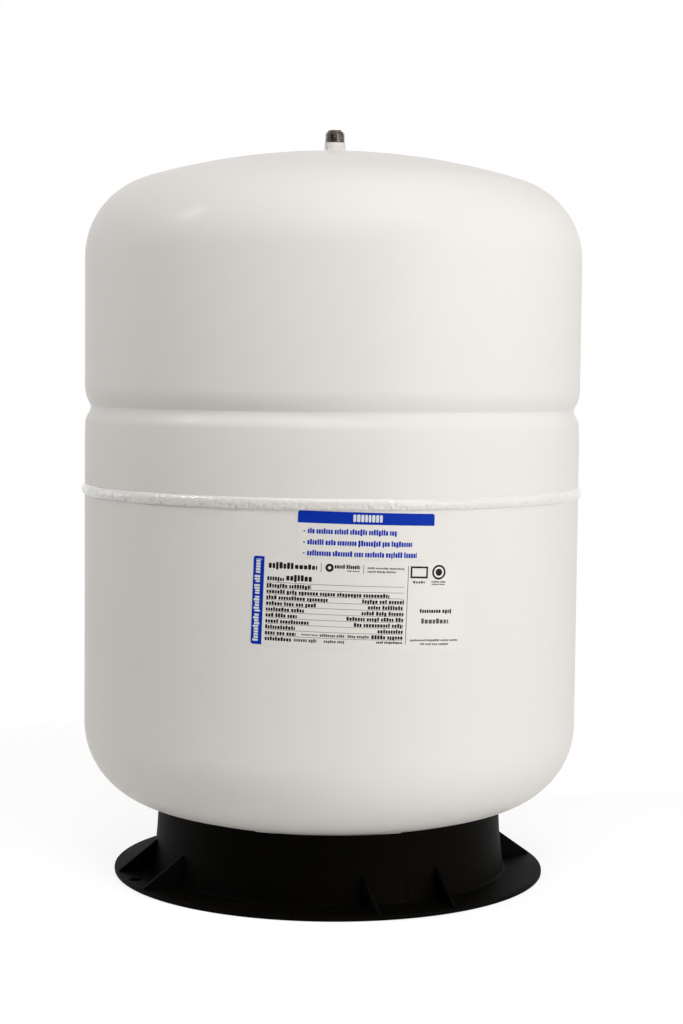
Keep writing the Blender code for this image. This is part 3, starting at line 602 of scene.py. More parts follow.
def makeWeld():
    # the lumps, pits and ripples are strongest on the bead's lower half
    half = weld["tall"] / 2
    proud = weld["proud"] - weld["lump"] * weld["lumpSunk"]
    middle = seam["height"]
    section = []
    for k in range(weld["sectionSteps"] + 1):
        turn = pi * k / weld["sectionSteps"]
        lean = weld["lean"] * sin(turn) ** 2 * half
        power = weld["roundAbove"] if cos(turn) > 0 else weld["roundBelow"]
        section.append((tank["radius"] + proud * sin(turn) ** power, middle + half * cos(turn) - lean))
    back = tank["radius"] - weld["bury"]
    outline = [(back, middle + half)] + section + [(back, middle - half)]
    piece = turnOutline("seam_bead", outline, weld["steps"])
    limit = weld["proud"] + tank["radius"] - 0.00001
    for vert in piece.data.vertices:
        radius = vert.co.xy.length
        out = (radius - tank["radius"]) / proud
        if radius < tank["radius"] - weld["bury"] / 2:
            out = 0.0
        along = Vector((vert.co.x, vert.co.y, 0.0))
        up = (vert.co.z - middle) / half
        edge = noise.noise(along / weld["wanderLength"] + Vector((0, 0, 3.0 if up > 0 else 9.0)))
        low = min(1.0, max(0.0, weld["calmAbove"] - up))
        wave = weld["wave"] * (1 - low) * noise.noise(vert.co / weld["waveLength"] + Vector((2.0, 0, 0)))
        lump = weld["lump"] * low * noise.noise(vert.co / weld["lumpLength"])
        strength = weld["ripple"] * (weld["rippleAbove"] + (1 - weld["rippleAbove"]) * low)
        ripple = strength * noise.noise(vert.co / weld["rippleLength"])
        hollow = noise.noise(vert.co / weld["pitLength"] + Vector((5.0, 0, 0))) - weld["pitFrom"]
        pit = weld["pit"] * low * max(0.0, hollow)
        grown = radius + max(0.0, out) ** 0.5 * (wave + lump + ripple - 2 * pit)
        vert.co.xy *= min(grown, limit) / radius
        vert.co.z += weld["wander"] * edge * up
    smooth(piece, 60)
    hand(piece, "tank", "seam_weld", beadPaint)


makeWeld()
print("seam welded")

# The inlet nipple, with its pipe thread
nipple = {
    "top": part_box("inlet_nipple")[1].z,
    "bottom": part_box("inlet_nipple")[0].z,
    "tipRadius": 0.0047,
    "meanRadius": 0.0062,
    "taper": 1 / 32,
    "chamferHeight": 0.0022,
    "coatTop": 0.4910,
    "coat": 0.0003,
    "pitch": 0.0254 / 18,
    "crestOver": 0.00030,
    "depth": 0.00085,
    "coatedDepth": 0.00042,
    "crestFlat": 0.22,
    "rootFlat": 0.10,
    "runOutTurns": 1.5,
    "keepInside": 0.0045,
    "boreRadius": 0.0033,
    "boreEdge": 0.0003,
    "socketRadius": 0.0048,
    "socketTop": 0.0082,
    "flangeRadius": 0.0150,
    "flangeThick": 0.0040,
    "sealGrooveRadius": 0.0065,
    "sealGrooveDepth": 0.0020,
    "fillet": 0.0010,
    "rowHeight": 0.00006,
    "segments": 96,
}


def cutThread(piece, thread, depthAt, blankAt, low, high):
    # a right-handed thread climbs against the clock as seen from above
    for vert in piece.data.vertices:
        height = vert.co.z
        radius = vert.co.xy.length
        if not low <= height <= high or radius < thread["keepInside"]:
            continue
        turn = atan2(vert.co.y, vert.co.x) / (2 * pi)
        phase = (height / thread["pitch"] - turn) % 1.0
        if height < thread["coatTop"]:  # paint rounds the ridges off
            valley = 0.5 - 0.5 * cos(2 * pi * phase)
        else:
            valley = 1.0 - abs(2 * phase - 1.0)
            valley = (valley - thread["crestFlat"]) / (1 - thread["crestFlat"] - thread["rootFlat"])
            valley = min(1.0, max(0.0, valley))
        cut = blankAt(height) - depthAt(height) * valley
        vert.co.xy *= min(cut, radius) / radius


def nippleCrest(height):
    crest = nipple["meanRadius"] + nipple["taper"] * (nipple["top"] - height) + nipple["crestOver"]
    if height < nipple["coatTop"]:
        return crest + nipple["coat"]
    return crest


def nippleBlank(height):
    widest = nippleCrest(nipple["top"] - nipple["chamferHeight"])
    down = (nipple["top"] - height) / nipple["chamferHeight"]
    return min(nippleCrest(height), nipple["tipRadius"] + down * (widest - nipple["tipRadius"]))


def makeNipple():
    fillet = nipple["fillet"]
    rootCrest = nippleCrest(shellTop)
    seatRadius = rootCrest + fillet
    seatHeightThere = shellTop - crownSag(seatRadius)
    rootHeight = seatHeightThere + fillet
    rows = ceil((nipple["top"] - rootHeight) / nipple["rowHeight"])
    heights = [nipple["top"] - (nipple["top"] - rootHeight) * k / rows for k in range(rows + 1)]
    outline = [(nippleBlank(h), h) for h in heights]
    outline += arc((seatRadius, rootHeight), fillet, 3 * pi / 2, pi, 6)[1:]  # paint gathers at the root
    base = nipple["bottom"]
    flangeTop = base + nipple["flangeThick"]
    rootRadius = rootCrest - nipple["crestOver"]
    under = seatHeightThere - nipple["coat"]
    sealTop = base + nipple["sealGrooveDepth"]
    socketTop = base + nipple["socketTop"]
    outline += [(seatRadius, under)]
    outline += walls((rootRadius, under, flangeTop), (nipple["flangeRadius"], flangeTop, base),
                     (nipple["sealGrooveRadius"], base, sealTop),
                     (nipple["socketRadius"], sealTop, socketTop),
                     (nipple["boreRadius"], socketTop, nipple["top"] - nipple["boreEdge"]))
    outline += [(nipple["boreRadius"] + nipple["boreEdge"], nipple["top"])]
    piece = turnOutline("inlet_nipple_threaded", outline, nipple["segments"])

    def depthAt(height):
        if height >= nipple["coatTop"]:
            return nipple["depth"]
        runOut = min(1.0, max(0.0, (height - rootHeight) / (nipple["runOutTurns"] * nipple["pitch"])))
        return nipple["coatedDepth"] * runOut

    cutThread(piece, nipple, depthAt, nippleBlank, rootHeight, nipple["top"])
    smooth(piece, 50)
    hand(piece, "tank", "inlet_nipple", steelFinish)
    piece.data.materials.append(whitePaint)
    for face in piece.data.polygons:
        outside = face.center.xy.length > nipple["boreRadius"] + 0.001
        if face.center.z < nipple["coatTop"] and outside:
            face.material_index = 1


makeNipple()
print("nipple threaded")

# The moulded stand
stand = {
    "topRadius": 0.1160,
    "footFlare": 0.0040,
    "wall": 0.0030,
    "seatWidth": 0.0065,
    "seatGap": 0.0003,
    "flangeRadius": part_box("stand")[1].x,
    "flangeThick": 0.0030,
    "flangeRing": 0.0130,
    "edgeRound": 0.0009,
    "rootRound": 0.0018,
    "seatSteps": 4,
    "flareSteps": 16,
    "segments": 240,
    "webTall": 0.0195,
    "webThick": 0.0025,
    "webSpread": 0.0520,
    "webEndInset": 0.0018,
    "webRound": 0.0004,
    "webLip": 0.0008,
    "holeRadius": 0.0043,
    "holeInset": 0.0075,
    "holeCount": 4,
    "firstHole": radians(23.5),
    "lineAngle": radians(25.3),
    "lineWidth": 0.00045,
    "lineProud": 0.00022,
    "lineReach": 0.08,
}


def seatHeight(radius):
    return lowerTangent - domeHeight(radius) - stand["seatGap"] * 1.05


def collarRadius(height):
    share = 1 - (height - stand["flangeThick"]) / (seatHeight(stand["topRadius"]) - stand["flangeThick"])
    return stand["topRadius"] + stand["footFlare"] * share ** 2


def frontAngle(vert):
    return atan2(vert.x, -vert.y)  # counted from the front's middle towards the right


def makeStandRing():
    thick = stand["flangeThick"]
    top = seatHeight(stand["topRadius"])
    rim = stand["flangeRadius"]
    foot = stand["topRadius"] + stand["footFlare"]
    root = stand["rootRound"]
    edge = stand["edgeRound"]
    steps = stand["flareSteps"]
    heights = [thick + root + (top - thick - root) * k / steps for k in range(steps + 1)]
    outline = [(rim - edge, 0.0)]
    outline += arc((rim - edge, edge), edge, pi, pi / 2, 4)[1:]
    outline += arc((rim - edge, thick - edge), edge, pi / 2, 0.0, 4)
    outline += [(foot + stand["flangeRing"], thick)]
    outline += arc((collarRadius(thick + root) + root, thick + root), root, pi, 3 * pi / 2, 5)[:-1]
    outline += [(collarRadius(h), h) for h in heights]
    seatInner = stand["topRadius"] - stand["seatWidth"]
    steps = stand["seatSteps"]
    seatRadii = [stand["topRadius"] - stand["seatWidth"] * k / steps for k in range(1, steps + 1)]
    outline += [(r, seatHeight(r)) for r in seatRadii]
    underside = seatHeight(seatInner) - stand["wall"]
    outline += [(seatInner, underside)]
    outline += [(collarRadius(underside) - stand["wall"], underside - stand["wall"] / 2)]
    inside = [h for h in heights[::-1] if h < underside - stand["wall"]]
    outline += [(collarRadius(h) - stand["wall"], h) for h in inside]
    outline += [(foot - stand["wall"], 0.0)]
    return turnOutline("moulded_stand", outline, stand["segments"])


def raiseMouldLine(piece):
    # cuts three upright lines close together in the collar, and lifts the middle one
    selectOnly(piece)
    side = stand["lineWidth"] / stand["topRadius"]
    for turn in (stand["lineAngle"] - side, stand["lineAngle"], stand["lineAngle"] + side):
        for face in piece.data.polygons:
            near = abs(frontAngle(face.center) - turn) < stand["lineReach"]
            face.select = near and face.center.xy.length < stand["topRadius"] + stand["footFlare"] + 0.002
        editMode()
        bpy.ops.mesh.bisect(plane_co=(0, 0, 0), plane_no=(cos(turn), sin(turn), 0.0))
        objectMode()
    for vert in piece.data.vertices:
        outer = vert.co.xy.length > stand["topRadius"] - 0.0004 and vert.co.z > stand["flangeThick"] + 0.0006
        if outer and abs(frontAngle(vert.co) - stand["lineAngle"]) < side / 4:
            vert.co.xy *= 1 + stand["lineProud"] / vert.co.xy.length


def makeWeb(turn, side):
    thick = stand["flangeThick"]
    bury = stand["wall"] / 2
    offset = side * stand["webSpread"] / 2

    def along(radius):
        return sqrt(radius ** 2 - offset ** 2)

    top = thick + stand["webTall"]
    out = along(stand["flangeRadius"] - stand["webEndInset"])
    points = [(along(collarRadius(thick) - bury), thick - bury), (out, thick - bury)]
    points += [(out, thick + stand["webLip"]), (along(collarRadius(top)) + stand["webRound"], top)]
    points += [(along(collarRadius(top) - bury), top)]
    web = drawOutline("web", points, True)
    selectMesh()
    bpy.ops.mesh.edge_face_add()
    bpy.ops.mesh.extrude_region_move(TRANSFORM_OT_translate={"value": (0.0, stand["webThick"], 0.0)})
    editAll(web, outwards)
    web.data.transform(Matrix.Translation((0.0, offset - stand["webThick"] / 2, 0.0)))
    web.data.transform(Matrix.Rotation(turn - pi / 2, 4, "Z"))
    applyModifier(web, "BEVEL", {"width": stand["webRound"], "segments": 2, "limit_method": "ANGLE"})
    return web


def makeStand():
    piece = makeStandRing()
    raiseMouldLine(piece)
    for k in range(stand["holeCount"]):
        turn = stand["firstHole"] + 2 * pi * k / stand["holeCount"]
        for side in (-1, 1):
            joinUp(piece, makeWeb(turn, side), "UNION")
        reach = stand["flangeRadius"] - stand["holeInset"]
        place = (reach * sin(turn), -reach * cos(turn), 0.0)
        joinUp(piece, addCylinder(40, stand["holeRadius"], 3 * stand["flangeThick"], place), "DIFFERENCE")
    smooth(piece, 28)
    hand(piece, "tank", "stand", standFinish)


makeStand()
print("stand moulded")

# The labels: drawn flat, then tilted and wrapped on the wall. Print is given in millimetres along
# the wall and up it from the middle of its label: (left, right, base, height, pace) for words, and
# (left, bottom, right, top) for plain areas.
labelShape = {
    "film": 0.00012,
    "lift": 0.00003,
    "ink": 0.00002,
    "corner": 0.0030,
    "inkCorner": 1.5,  # in millimetres, as the print is
    "columnWidth": 0.0022,
}
printStyle = {
    "letterWidth": (0.60, 0.84),
    "letterGap": 0.20,
    "wordGap": 0.50,
    "wordLength": (3, 10),
    "lowLetter": 0.80,
    "tallShare": 0.30,
    "tailShare": 0.08,
    "tail": 0.18,
    "clipped": 0.14,
}
upperLabel = {
    "node": "upper_label",
    "width": 0.0840,
    "height": 0.0280,
    "shift": 0.0217,
    "rise": 0.0004,
    "tilt": radians(-1.5),
    "header": 7.3,
    "title": (-8.8, 9.0, 8.2, 4.4, 2.6),
    "lines": [(-35.8, 18.0, 0.4, 3.4, 1.62), (-35.8, 27.9, -6.3, 3.4, 1.62), (-35.8, 31.2, -12.9, 3.4, 1.62)],
    "bullet": (-38.4, 1.4, -37.2, 2.1),
}
lowerLabel = {
    "node": "lower_label",
    "width": 0.1336,
    "height": 0.0534,
    "shift": 0.0189,
    "rise": 0.00055,
    "tilt": radians(-1.9),
    "strip": 6.8,
    "stripPrint": (-24.8, 25.0, 62.3, 3.5, 1.75),
    "left": -58.0,
    "right": 25.8,
    "firstRule": 11.6,
    "rulePitch": 3.58,
    "ruleCount": 10,
    "ruleThick": 0.24,
    "rowHeight": 2.45,
    "rowPace": 1.78,
    "rowLift": 0.3,
    "rowEnds": [(-31.0, None), (16.5, None), (-20.1, 0.0), (-27.1, 3.7), (-34.6, 0.0),
                (-38.8, -9.0), (-31.0, -4.4), (-39.7, 10.2), (-39.1, 6.6), (-41.8, None)],
    "boldWords": [
        (-57.2, -42.0, 19.9, 3.9, 2.5), (-41.2, -27.8, 20.2, 3.1, 2.7), (-57.9, -47.5, 12.4, 2.4, 1.8),
        (-46.2, -30.5, 12.9, 3.7, 2.4), (-17.4, -2.2, 21.6, 2.5, 1.4), (9.6, 25.8, -22.9, 1.4, 1.15),
        (36.2, 57.2, -4.0, 2.4, 1.75)],
    "thinWords": [
        (-9.8, -2.2, 19.9, 0.9, 0.8), (2.5, 25.2, 22.0, 1.1, 1.0), (2.5, 19.8, 19.9, 1.1, 1.0),
        (-35.6, -25.6, -19.6, 1.0, 0.9), (-24.6, -9.6, -19.9, 1.7, 1.3), (-7.9, 5.2, -19.9, 1.7, 1.3),
        (-40.0, -26.4, -23.6, 2.1, 1.5), (-22.0, -9.8, -23.4, 1.6, 1.3), (31.0, 38.6, 13.9, 1.5, 1.9),
        (43.0, 52.4, 14.4, 1.2, 1.0), (43.2, 52.4, 13.0, 0.9, 0.8), (37.4, 55.4, -10.5, 3.1, 2.6),
        (30.8, 62.8, -21.2, 1.2, 1.05), (37.4, 56.2, -23.5, 1.2, 1.05)],
    "separators": [(-25.55, 19.2, -25.2, 24.5), (-0.05, 19.0, 0.3, 24.5), (27.6, -23.2, 28.0, 24.4)],
    "frame": (29.2, 17.0, 40.4, 24.2),
    "frameLine": 1.1,
    "rings": [((-20.4, 21.9), 2.5, 1.5), ((47.7, 20.8), 4.5, 1.2)],
    "ringCentre": 2.2,
}


def sheet(name, low, high, corner, rounded="all"):
    # a flat sheet from its low corner to its high one, cut into upright columns so that it can bend
    deselectAll()
    bpy.ops.mesh.primitive_plane_add(size=1.0)
    piece = named(name)
    size = (high[0] - low[0], high[1] - low[1])
    middle = ((low[0] + high[0]) / 2, (low[1] + high[1]) / 2)
    piece.data.transform(Matrix.Rotation(pi / 2, 4, "X"))
    piece.data.transform(Matrix.Diagonal((size[0], 1.0, size[1], 1.0)))
    piece.data.transform(Matrix.Translation((middle[0], 0.0, middle[1])))
    if corner:
        for part in (*piece.data.edges, *piece.data.polygons):
            part.select = False
        for vert in piece.data.vertices:
            onTop = vert.co.z > middle[1]
            onLeft = vert.co.x < middle[0]
            vert.select = rounded == "all" or (rounded == "top" and onTop) or (rounded == "left" and onLeft)
        editMode()
        bpy.ops.mesh.bevel(offset=corner, segments=5, affect="VERTICES")
        objectMode()
    cuts = floor(size[0] / labelShape["columnWidth"])
    editMode()
    for k in range(1, cuts + 1):
        selectMesh()
        bpy.ops.mesh.bisect(plane_co=(low[0] + size[0] * k / (cuts + 1), 0, 0), plane_no=(1, 0, 0))
    objectMode()
    return piece


def wrap(piece, label, lift, thickness):
    applyModifier(piece, "SOLIDIFY", {"thickness": thickness, "offset": 0.0})
    middle = midHeight(label["node"]) + label["rise"]
    base = tank["radius"] + lift + thickness / 2
    for vert in piece.data.vertices:
        a = vert.co.x * cos(label["tilt"]) - vert.co.z * sin(label["tilt"])
        b = vert.co.x * sin(label["tilt"]) + vert.co.z * cos(label["tilt"])
        turn = (label["shift"] + a) / (tank["radius"] + labelShape["lift"])
        reach = base - vert.co.y
        vert.co = (reach * sin(turn), -reach * cos(turn), middle + b)
    editAll(piece, outwards)
    smooth(piece)


def makeFilm(name, label):
    half = (label["width"] / 2, label["height"] / 2)
    film = sheet(name, (-half[0], -half[1]), half, labelShape["corner"])
    wrap(film, label, labelShape["lift"], labelShape["film"])
    hand(film, "tank", label["node"], filmFinish)


def makeRing(name, middle, radius, line):
    deselectAll()
    bpy.ops.mesh.primitive_circle_add(vertices=40, radius=radius / 1000, fill_type="NGON")
    piece = named(name)
    editMode()
    selectMesh()
    bpy.ops.mesh.inset(thickness=line / 1000)
    bpy.ops.mesh.delete(type="FACE")
    objectMode()
    piece.data.transform(Matrix.Rotation(pi / 2, 4, "X"))
    piece.data.transform(Matrix.Translation((middle[0] / 1000, 0.0, middle[1] / 1000)))
    return piece


def makeBlock():
    # one small block with clipped corners, a millimetre wide and tall, that all print is copied from
    deselectAll()
    bpy.ops.mesh.primitive_plane_add(size=0.001)
    block = named("print_block")
    editMode()
    selectMesh()
    bpy.ops.mesh.bevel(offset=printStyle["clipped"] / 1000, segments=1, affect="VERTICES")
    objectMode()
    block.data.transform(Matrix.Rotation(pi / 2, 4, "X"))
    return block


def setBlocks(block, spots):
    copies = []
    for left, bottom, right, top in spots:
        copy = block.copy()
        copy.data = block.data.copy()
        bpy.context.collection.objects.link(copy)
        copy.data.transform(Matrix.Diagonal((right - left, 1.0, top - bottom, 1.0)))
        copy.data.transform(Matrix.Translation(((left + right) / 2000, 0.0, (bottom + top) / 2000)))
        copies.append(copy)
    return copies


def wordBlocks(words, draw, upright=False, allTall=False):
    # small blocks in groups, spaced as print is, with nothing in them to read
    left, right, base, tall, pace = words
    blocks = []
    at = left
    inWord = draw.randint(*printStyle["wordLength"])
    while right - at > pace * printStyle["letterGap"]:
        if inWord == 0 and right - at > 3 * pace:
            at += pace * printStyle["wordGap"]
            inWord = draw.randint(*printStyle["wordLength"])
        wide = min(pace * draw.uniform(*printStyle["letterWidth"]), right - at)
        top = tall
        if not allTall and draw.random() >= printStyle["tallShare"]:
            top = tall * printStyle["lowLetter"]
        bottom = 0.0
        if not allTall and draw.random() < printStyle["tailShare"]:
            bottom = -tall * printStyle["tail"]
        if upright:
            blocks.append((-base - top, at, -base - bottom, at + wide))
        else:
            blocks.append((at, base + bottom, at + wide, base + top))
        at += wide + pace * printStyle["letterGap"]
        inWord -= 1
    return blocks


def makeInk(name, label, parts, finish, layer=1):
    deselectAll()
    for part in parts:
        part.select_set(True)
    bpy.context.view_layer.objects.active = parts[0]
    if len(parts) > 1:
        bpy.ops.object.join()
    piece = named(name)
    lift = labelShape["lift"] + labelShape["film"] + labelShape["ink"] * (layer - 1)
    wrap(piece, label, lift, labelShape["ink"])
    hand(piece, "tank", label["node"], finish)


def area(left, bottom, right, top, corner=0.0, rounded="all"):
    low = (left / 1000, bottom / 1000)
    return sheet("area", low, (right / 1000, top / 1000), corner / 1000, rounded)


def makeUpperLabel(block):
    half = (upperLabel["width"] * 500, upperLabel["height"] * 500)
    draw = Random(4)
    makeFilm("upper_label_film", upperLabel)
    foot = half[1] - upperLabel["header"]
    header = area(-half[0], foot, half[0], half[1], labelShape["inkCorner"], "top")
    makeInk("upper_label_header", upperLabel, [header], blueInk)
    title = setBlocks(block, wordBlocks(upperLabel["title"], draw, allTall=True))
    makeInk("upper_label_title", upperLabel, title, whiteInk, 2)
    spots = []
    left, bottom, right, top = upperLabel["bullet"]
    for words in upperLabel["lines"]:
        drop = words[2] - upperLabel["lines"][0][2]
        spots += [(left, bottom + drop, right, top + drop)] + wordBlocks(words, draw)
    makeInk("upper_label_lines", upperLabel, setBlocks(block, spots), blueInk)


def makeLowerLabel(block):
    half = (lowerLabel["width"] * 500, lowerLabel["height"] * 500)
    left = lowerLabel["left"]
    right = lowerLabel["right"]
    draw = Random(9)
    makeFilm("lower_label_film", lowerLabel)
    edge = -half[0] + lowerLabel["strip"]
    strip = area(-half[0], -half[1], edge, half[1], labelShape["inkCorner"], "left")
    makeInk("lower_label_strip", lowerLabel, [strip], blueInk)
    upright = setBlocks(block, wordBlocks(lowerLabel["stripPrint"], draw, upright=True))
    makeInk("lower_label_title", lowerLabel, upright, whiteInk, 2)
    first = lowerLabel["firstRule"]
    pitch = lowerLabel["rulePitch"]
    ruleHeights = [first - pitch * k for k in range(lowerLabel["ruleCount"])]
    rules = [area(left, h - lowerLabel["ruleThick"], right, h) for h in ruleHeights]
    rules += [area(*spot) for spot in lowerLabel["separators"]]
    for words in lowerLabel["thinWords"]:
        rules += setBlocks(block, wordBlocks(words, draw))
    makeInk("lower_label_rules", lowerLabel, rules, greyInk)
    spots = []
    for words in lowerLabel["boldWords"]:
        spots += wordBlocks(words, draw)
    for row, (end, start) in enumerate(lowerLabel["rowEnds"]):
        base = first - pitch * (row + 1) + lowerLabel["rowLift"]
        size = (lowerLabel["rowHeight"], lowerLabel["rowPace"])
        spots += wordBlocks((left, end, base, *size), draw)
        if start is not None:
            spots += wordBlocks((start, right, base, *size), draw)
    makeInk("lower_label_lines", lowerLabel, setBlocks(block, spots), darkInk)
    low, bottom, high, top = lowerLabel["frame"]
    line = lowerLabel["frameLine"]
    marks = [area(low, top - line, high, top), area(low, bottom, high, bottom + line)]
    marks += [area(x, bottom + line, x + line, top - line) for x in (low, high - line)]
    marks += [makeRing("ring", *ring) for ring in lowerLabel["rings"]]
    seal = lowerLabel["rings"][-1][0]
    reach = lowerLabel["ringCentre"]
    marks.append(area(seal[0] - reach, seal[1] - reach, seal[0] + reach, seal[1] + reach, reach * 0.98))
    makeInk("lower_label_marks", lowerLabel, marks, darkInk)


printBlock = makeBlock()
makeUpperLabel(printBlock)
makeLowerLabel(printBlock)
bpy.data.objects.remove(printBlock)
print("labels wrapped")

# The air valve under the tank
valve = {
    "tip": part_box("valve_stem")[0].z,
    "top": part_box("valve_stem")[1].z,
    "stemRadius": 0.00365,
    "stemLength": 0.0105,
    "hexThick": 0.0035,
    "acrossFlats": 0.0140,
    "tailRadius": 0.0046,
    "socketRadius": 0.00275,
    "socketDepth": 0.0075,
    "seatRadius": 0.0023,
    "airwayRadius": 0.0013,
    "airwayLength": 0.0030,
    "pitch": 0.0254 / 32,
    "threadDepth": 0.00034,
    "crestFlat": 0.14,
    "rootFlat": 0.10,
    "coatTop": 0.0,
    "keepInside": 0.00315,
    "threadStart": 0.0003,
    "threadEnd": 0.0010,
    "fadeOut": 0.0006,
    "tipChamfer": 0.0004,
    "socketChamfer": 0.0002,
    "seatSlope": 0.00045,
    "hexChamfer": (0.0003, 0.00065),
    "hexPast": 0.0001,
    "hexBoreInset": 0.0003,
    "segments": 96,
    "rowHeight": 0.00009,
}


def makeStem():
    tip = valve["tip"]
    stem = valve["stemRadius"]
    chamfer = valve["tipChamfer"]
    rows = ceil(valve["stemLength"] / valve["rowHeight"])
    heights = [tip + chamfer + (valve["stemLength"] - chamfer) * k / rows for k in range(rows + 1)]
    hexMiddle = tip + valve["stemLength"] + valve["hexThick"] / 2
    seatDepth = valve["top"] - valve["airwayLength"]
    socketEnd = tip + valve["socketDepth"]
    outline = [(valve["socketRadius"] + valve["socketChamfer"], tip), (stem - chamfer, tip)]
    outline += [(stem, h) for h in heights] + [(stem, hexMiddle)]
    outline += walls((valve["tailRadius"], hexMiddle, valve["top"]),
                     (valve["airwayRadius"], valve["top"], seatDepth),
                     (valve["seatRadius"], seatDepth, socketEnd),
                     (valve["socketRadius"], socketEnd - valve["seatSlope"], tip + valve["socketChamfer"]))
    piece = turnOutline("air_valve_stem", outline, valve["segments"])
    threadEnd = tip + valve["stemLength"] - valve["threadEnd"]

    def depthAt(height):
        return valve["threadDepth"] * min(1.0, max(0.0, (threadEnd - height) / valve["fadeOut"]))

    cutThread(piece, valve, depthAt, lambda height: stem, tip + valve["threadStart"], threadEnd)
    joinUp(piece, makeHexagon(hexMiddle), "UNION")
    smooth(piece, 35)
    hand(piece, "tank", "valve_stem", brassFinish)


def makeHexagon(middle):
    half = valve["hexThick"] / 2
    corner = valve["acrossFlats"] / 2 / cos(pi / 6)
    hexagon = addCylinder(6, corner, valve["hexThick"], (0, 0, middle))
    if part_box("valve_stem")[1].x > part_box("valve_stem")[1].y:
        hexagon.data.transform(Matrix.Rotation(pi / 6, 4, "Z"))
    flat = valve["acrossFlats"] / 2 - valve["hexChamfer"][0]
    wide = corner + valve["hexPast"]
    straight = half - valve["hexChamfer"][1]
    rim = [(0.0, middle - half), (flat, middle - half), (wide, middle - straight)]
    rim += [(wide, middle + straight), (flat, middle + half), (0.0, middle + half)]
    joinUp(hexagon, turnOutline("hex_envelope", rim, valve["segments"], closed=False), "INTERSECT")
    inside = valve["stemRadius"] - valve["hexBoreInset"]
    joinUp(hexagon, addCylinder(valve["segments"], inside, half * 4, (0, 0, middle)), "DIFFERENCE")
    return hexagon


boss = {
    "radius": 0.0080,
    "bore": 0.0049,
    "flangeRadius": 0.0110,
    "flangeThick": 0.0020,
    "chamfer": 0.0005,
}


def makeBoss():
    low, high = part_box("valve_boss")
    flange = high.z - boss["flangeThick"]
    cut = boss["chamfer"]
    outline = [(boss["bore"] + cut, low.z), (boss["radius"] - cut, low.z)]
    outline += walls((boss["radius"], low.z + cut, flange), (boss["flangeRadius"], flange, high.z),
                     (boss["bore"], high.z, low.z + cut))
    piece = turnOutline("air_valve_boss", outline, valve["segments"])
    smooth(piece)
    hand(piece, "tank", "valve_boss", zincFinish)


cap = {
    "radius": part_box("valve_cap")[1].x,
    "wall": 0.0010,
    "head": 0.0013,
    "ribs": 12,
    "ribDepth": 0.0004,
    "ribSharpness": 0.6,
    "ribFade": 0.0006,
    "edgeRound": 0.0005,
    "ring": 0.0012,
    "segments": 192,
}


def makeCap():
    low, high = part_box("valve_cap")
    outer = cap["radius"]
    inner = outer - cap["wall"]
    edge = cap["edgeRound"]
    outline = [(0.0, low.z), (outer - edge - cap["ring"], low.z)]
    outline += arc((outer - edge, low.z + edge), edge, pi, pi / 2, 5)
    outline += [(outer, low.z + cap["ring"]), (outer, high.z - cap["ribFade"])]
    outline += [(outer - 0.0002, high.z - 0.0001)]  # the mouth's edge is rounded off from here
    outline += [(outer - 0.0004, high.z), (inner + 0.0002, high.z), (inner, high.z - 0.0003)]
    outline += [(inner, low.z + cap["head"]), (0.0, low.z + cap["head"])]
    piece = turnOutline("air_valve_cap", outline, cap["segments"], closed=False)
    for vert in piece.data.vertices:
        radius = vert.co.xy.length
        if radius > outer - 0.0006 and vert.co.z < high.z - 0.0005:
            turn = atan2(vert.co.y, vert.co.x)
            hollow = (0.5 - 0.5 * cos(cap["ribs"] * turn)) ** cap["ribSharpness"]
            fade = min(1.0, (vert.co.z - low.z) / cap["ribFade"])
            vert.co.xy *= 1 - cap["ribDepth"] * hollow * fade / radius
    smooth(piece, 40)
    hand(piece, "valve_cap", "valve_cap", capFinish)


coreSpring = {"node": "valve_core_spring", "pinTravel": 0.0015, "slot": "stainless"}


def makeCoreSpring():
    # a copy of the frame's coil, with its doubled points merged, smoothed and given the steel finish
    coil = bpy.data.objects.new("core_spring_coil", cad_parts[coreSpring["node"]].data.copy())
    bpy.context.collection.objects.link(coil)
    editAll(coil, mergeDoubles)
    smooth(coil, 60)
    hand(coil, "tank", coreSpring["node"], steelFinish)
    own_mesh(coil)


makeBoss()
makeStem()
makeCap()
makeCoreSpring()
print("air valve turned")

# What stays as it came from the frame gets its finish
nodeFinishes = {
    "inlet_seal": blackRubber,
    "clench_ring": zincFinish,
    "liner": linerFinish,
    "diaphragm": greyRubber,
    "valve_stem_seal": blackRubber,
    "valve_core_barrel": brassFinish,
    "valve_core_gasket": blackRubber,
    "valve_core_pin": brassFinish,
    "valve_core_seal": blackRubber,
    "valve_core_spring_cup": brassFinish,
    "valve_cap_seal": blackRubber,
}
for node, finish in nodeFinishes.items():
    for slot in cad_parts[node].material_slots:
        slot.material = finish
print("inner pieces finished")

# The floor, the lamps and the white surroundings
studio = {
    "floorRadius": 0.62,
    "floorDrop": 0.0002,
    "floorTone": (0.85, 0.84, 0.82, 1.0),
    "shadowShare": 0.34,
    "floorGlow": 0.78,
    "skyLevel": 0.08,
    "skyBelow": 1.02,
    "lampDistance": 2.0,
    "lampTone": (1.0, 0.988, 0.972),
    "curtainRadius": 2.9,
    "curtainReach": radians(160),
    "curtainHeights": (-0.5, 5.0),
    "curtainTone": (0.012, 0.012, 0.012, 1.0),
}
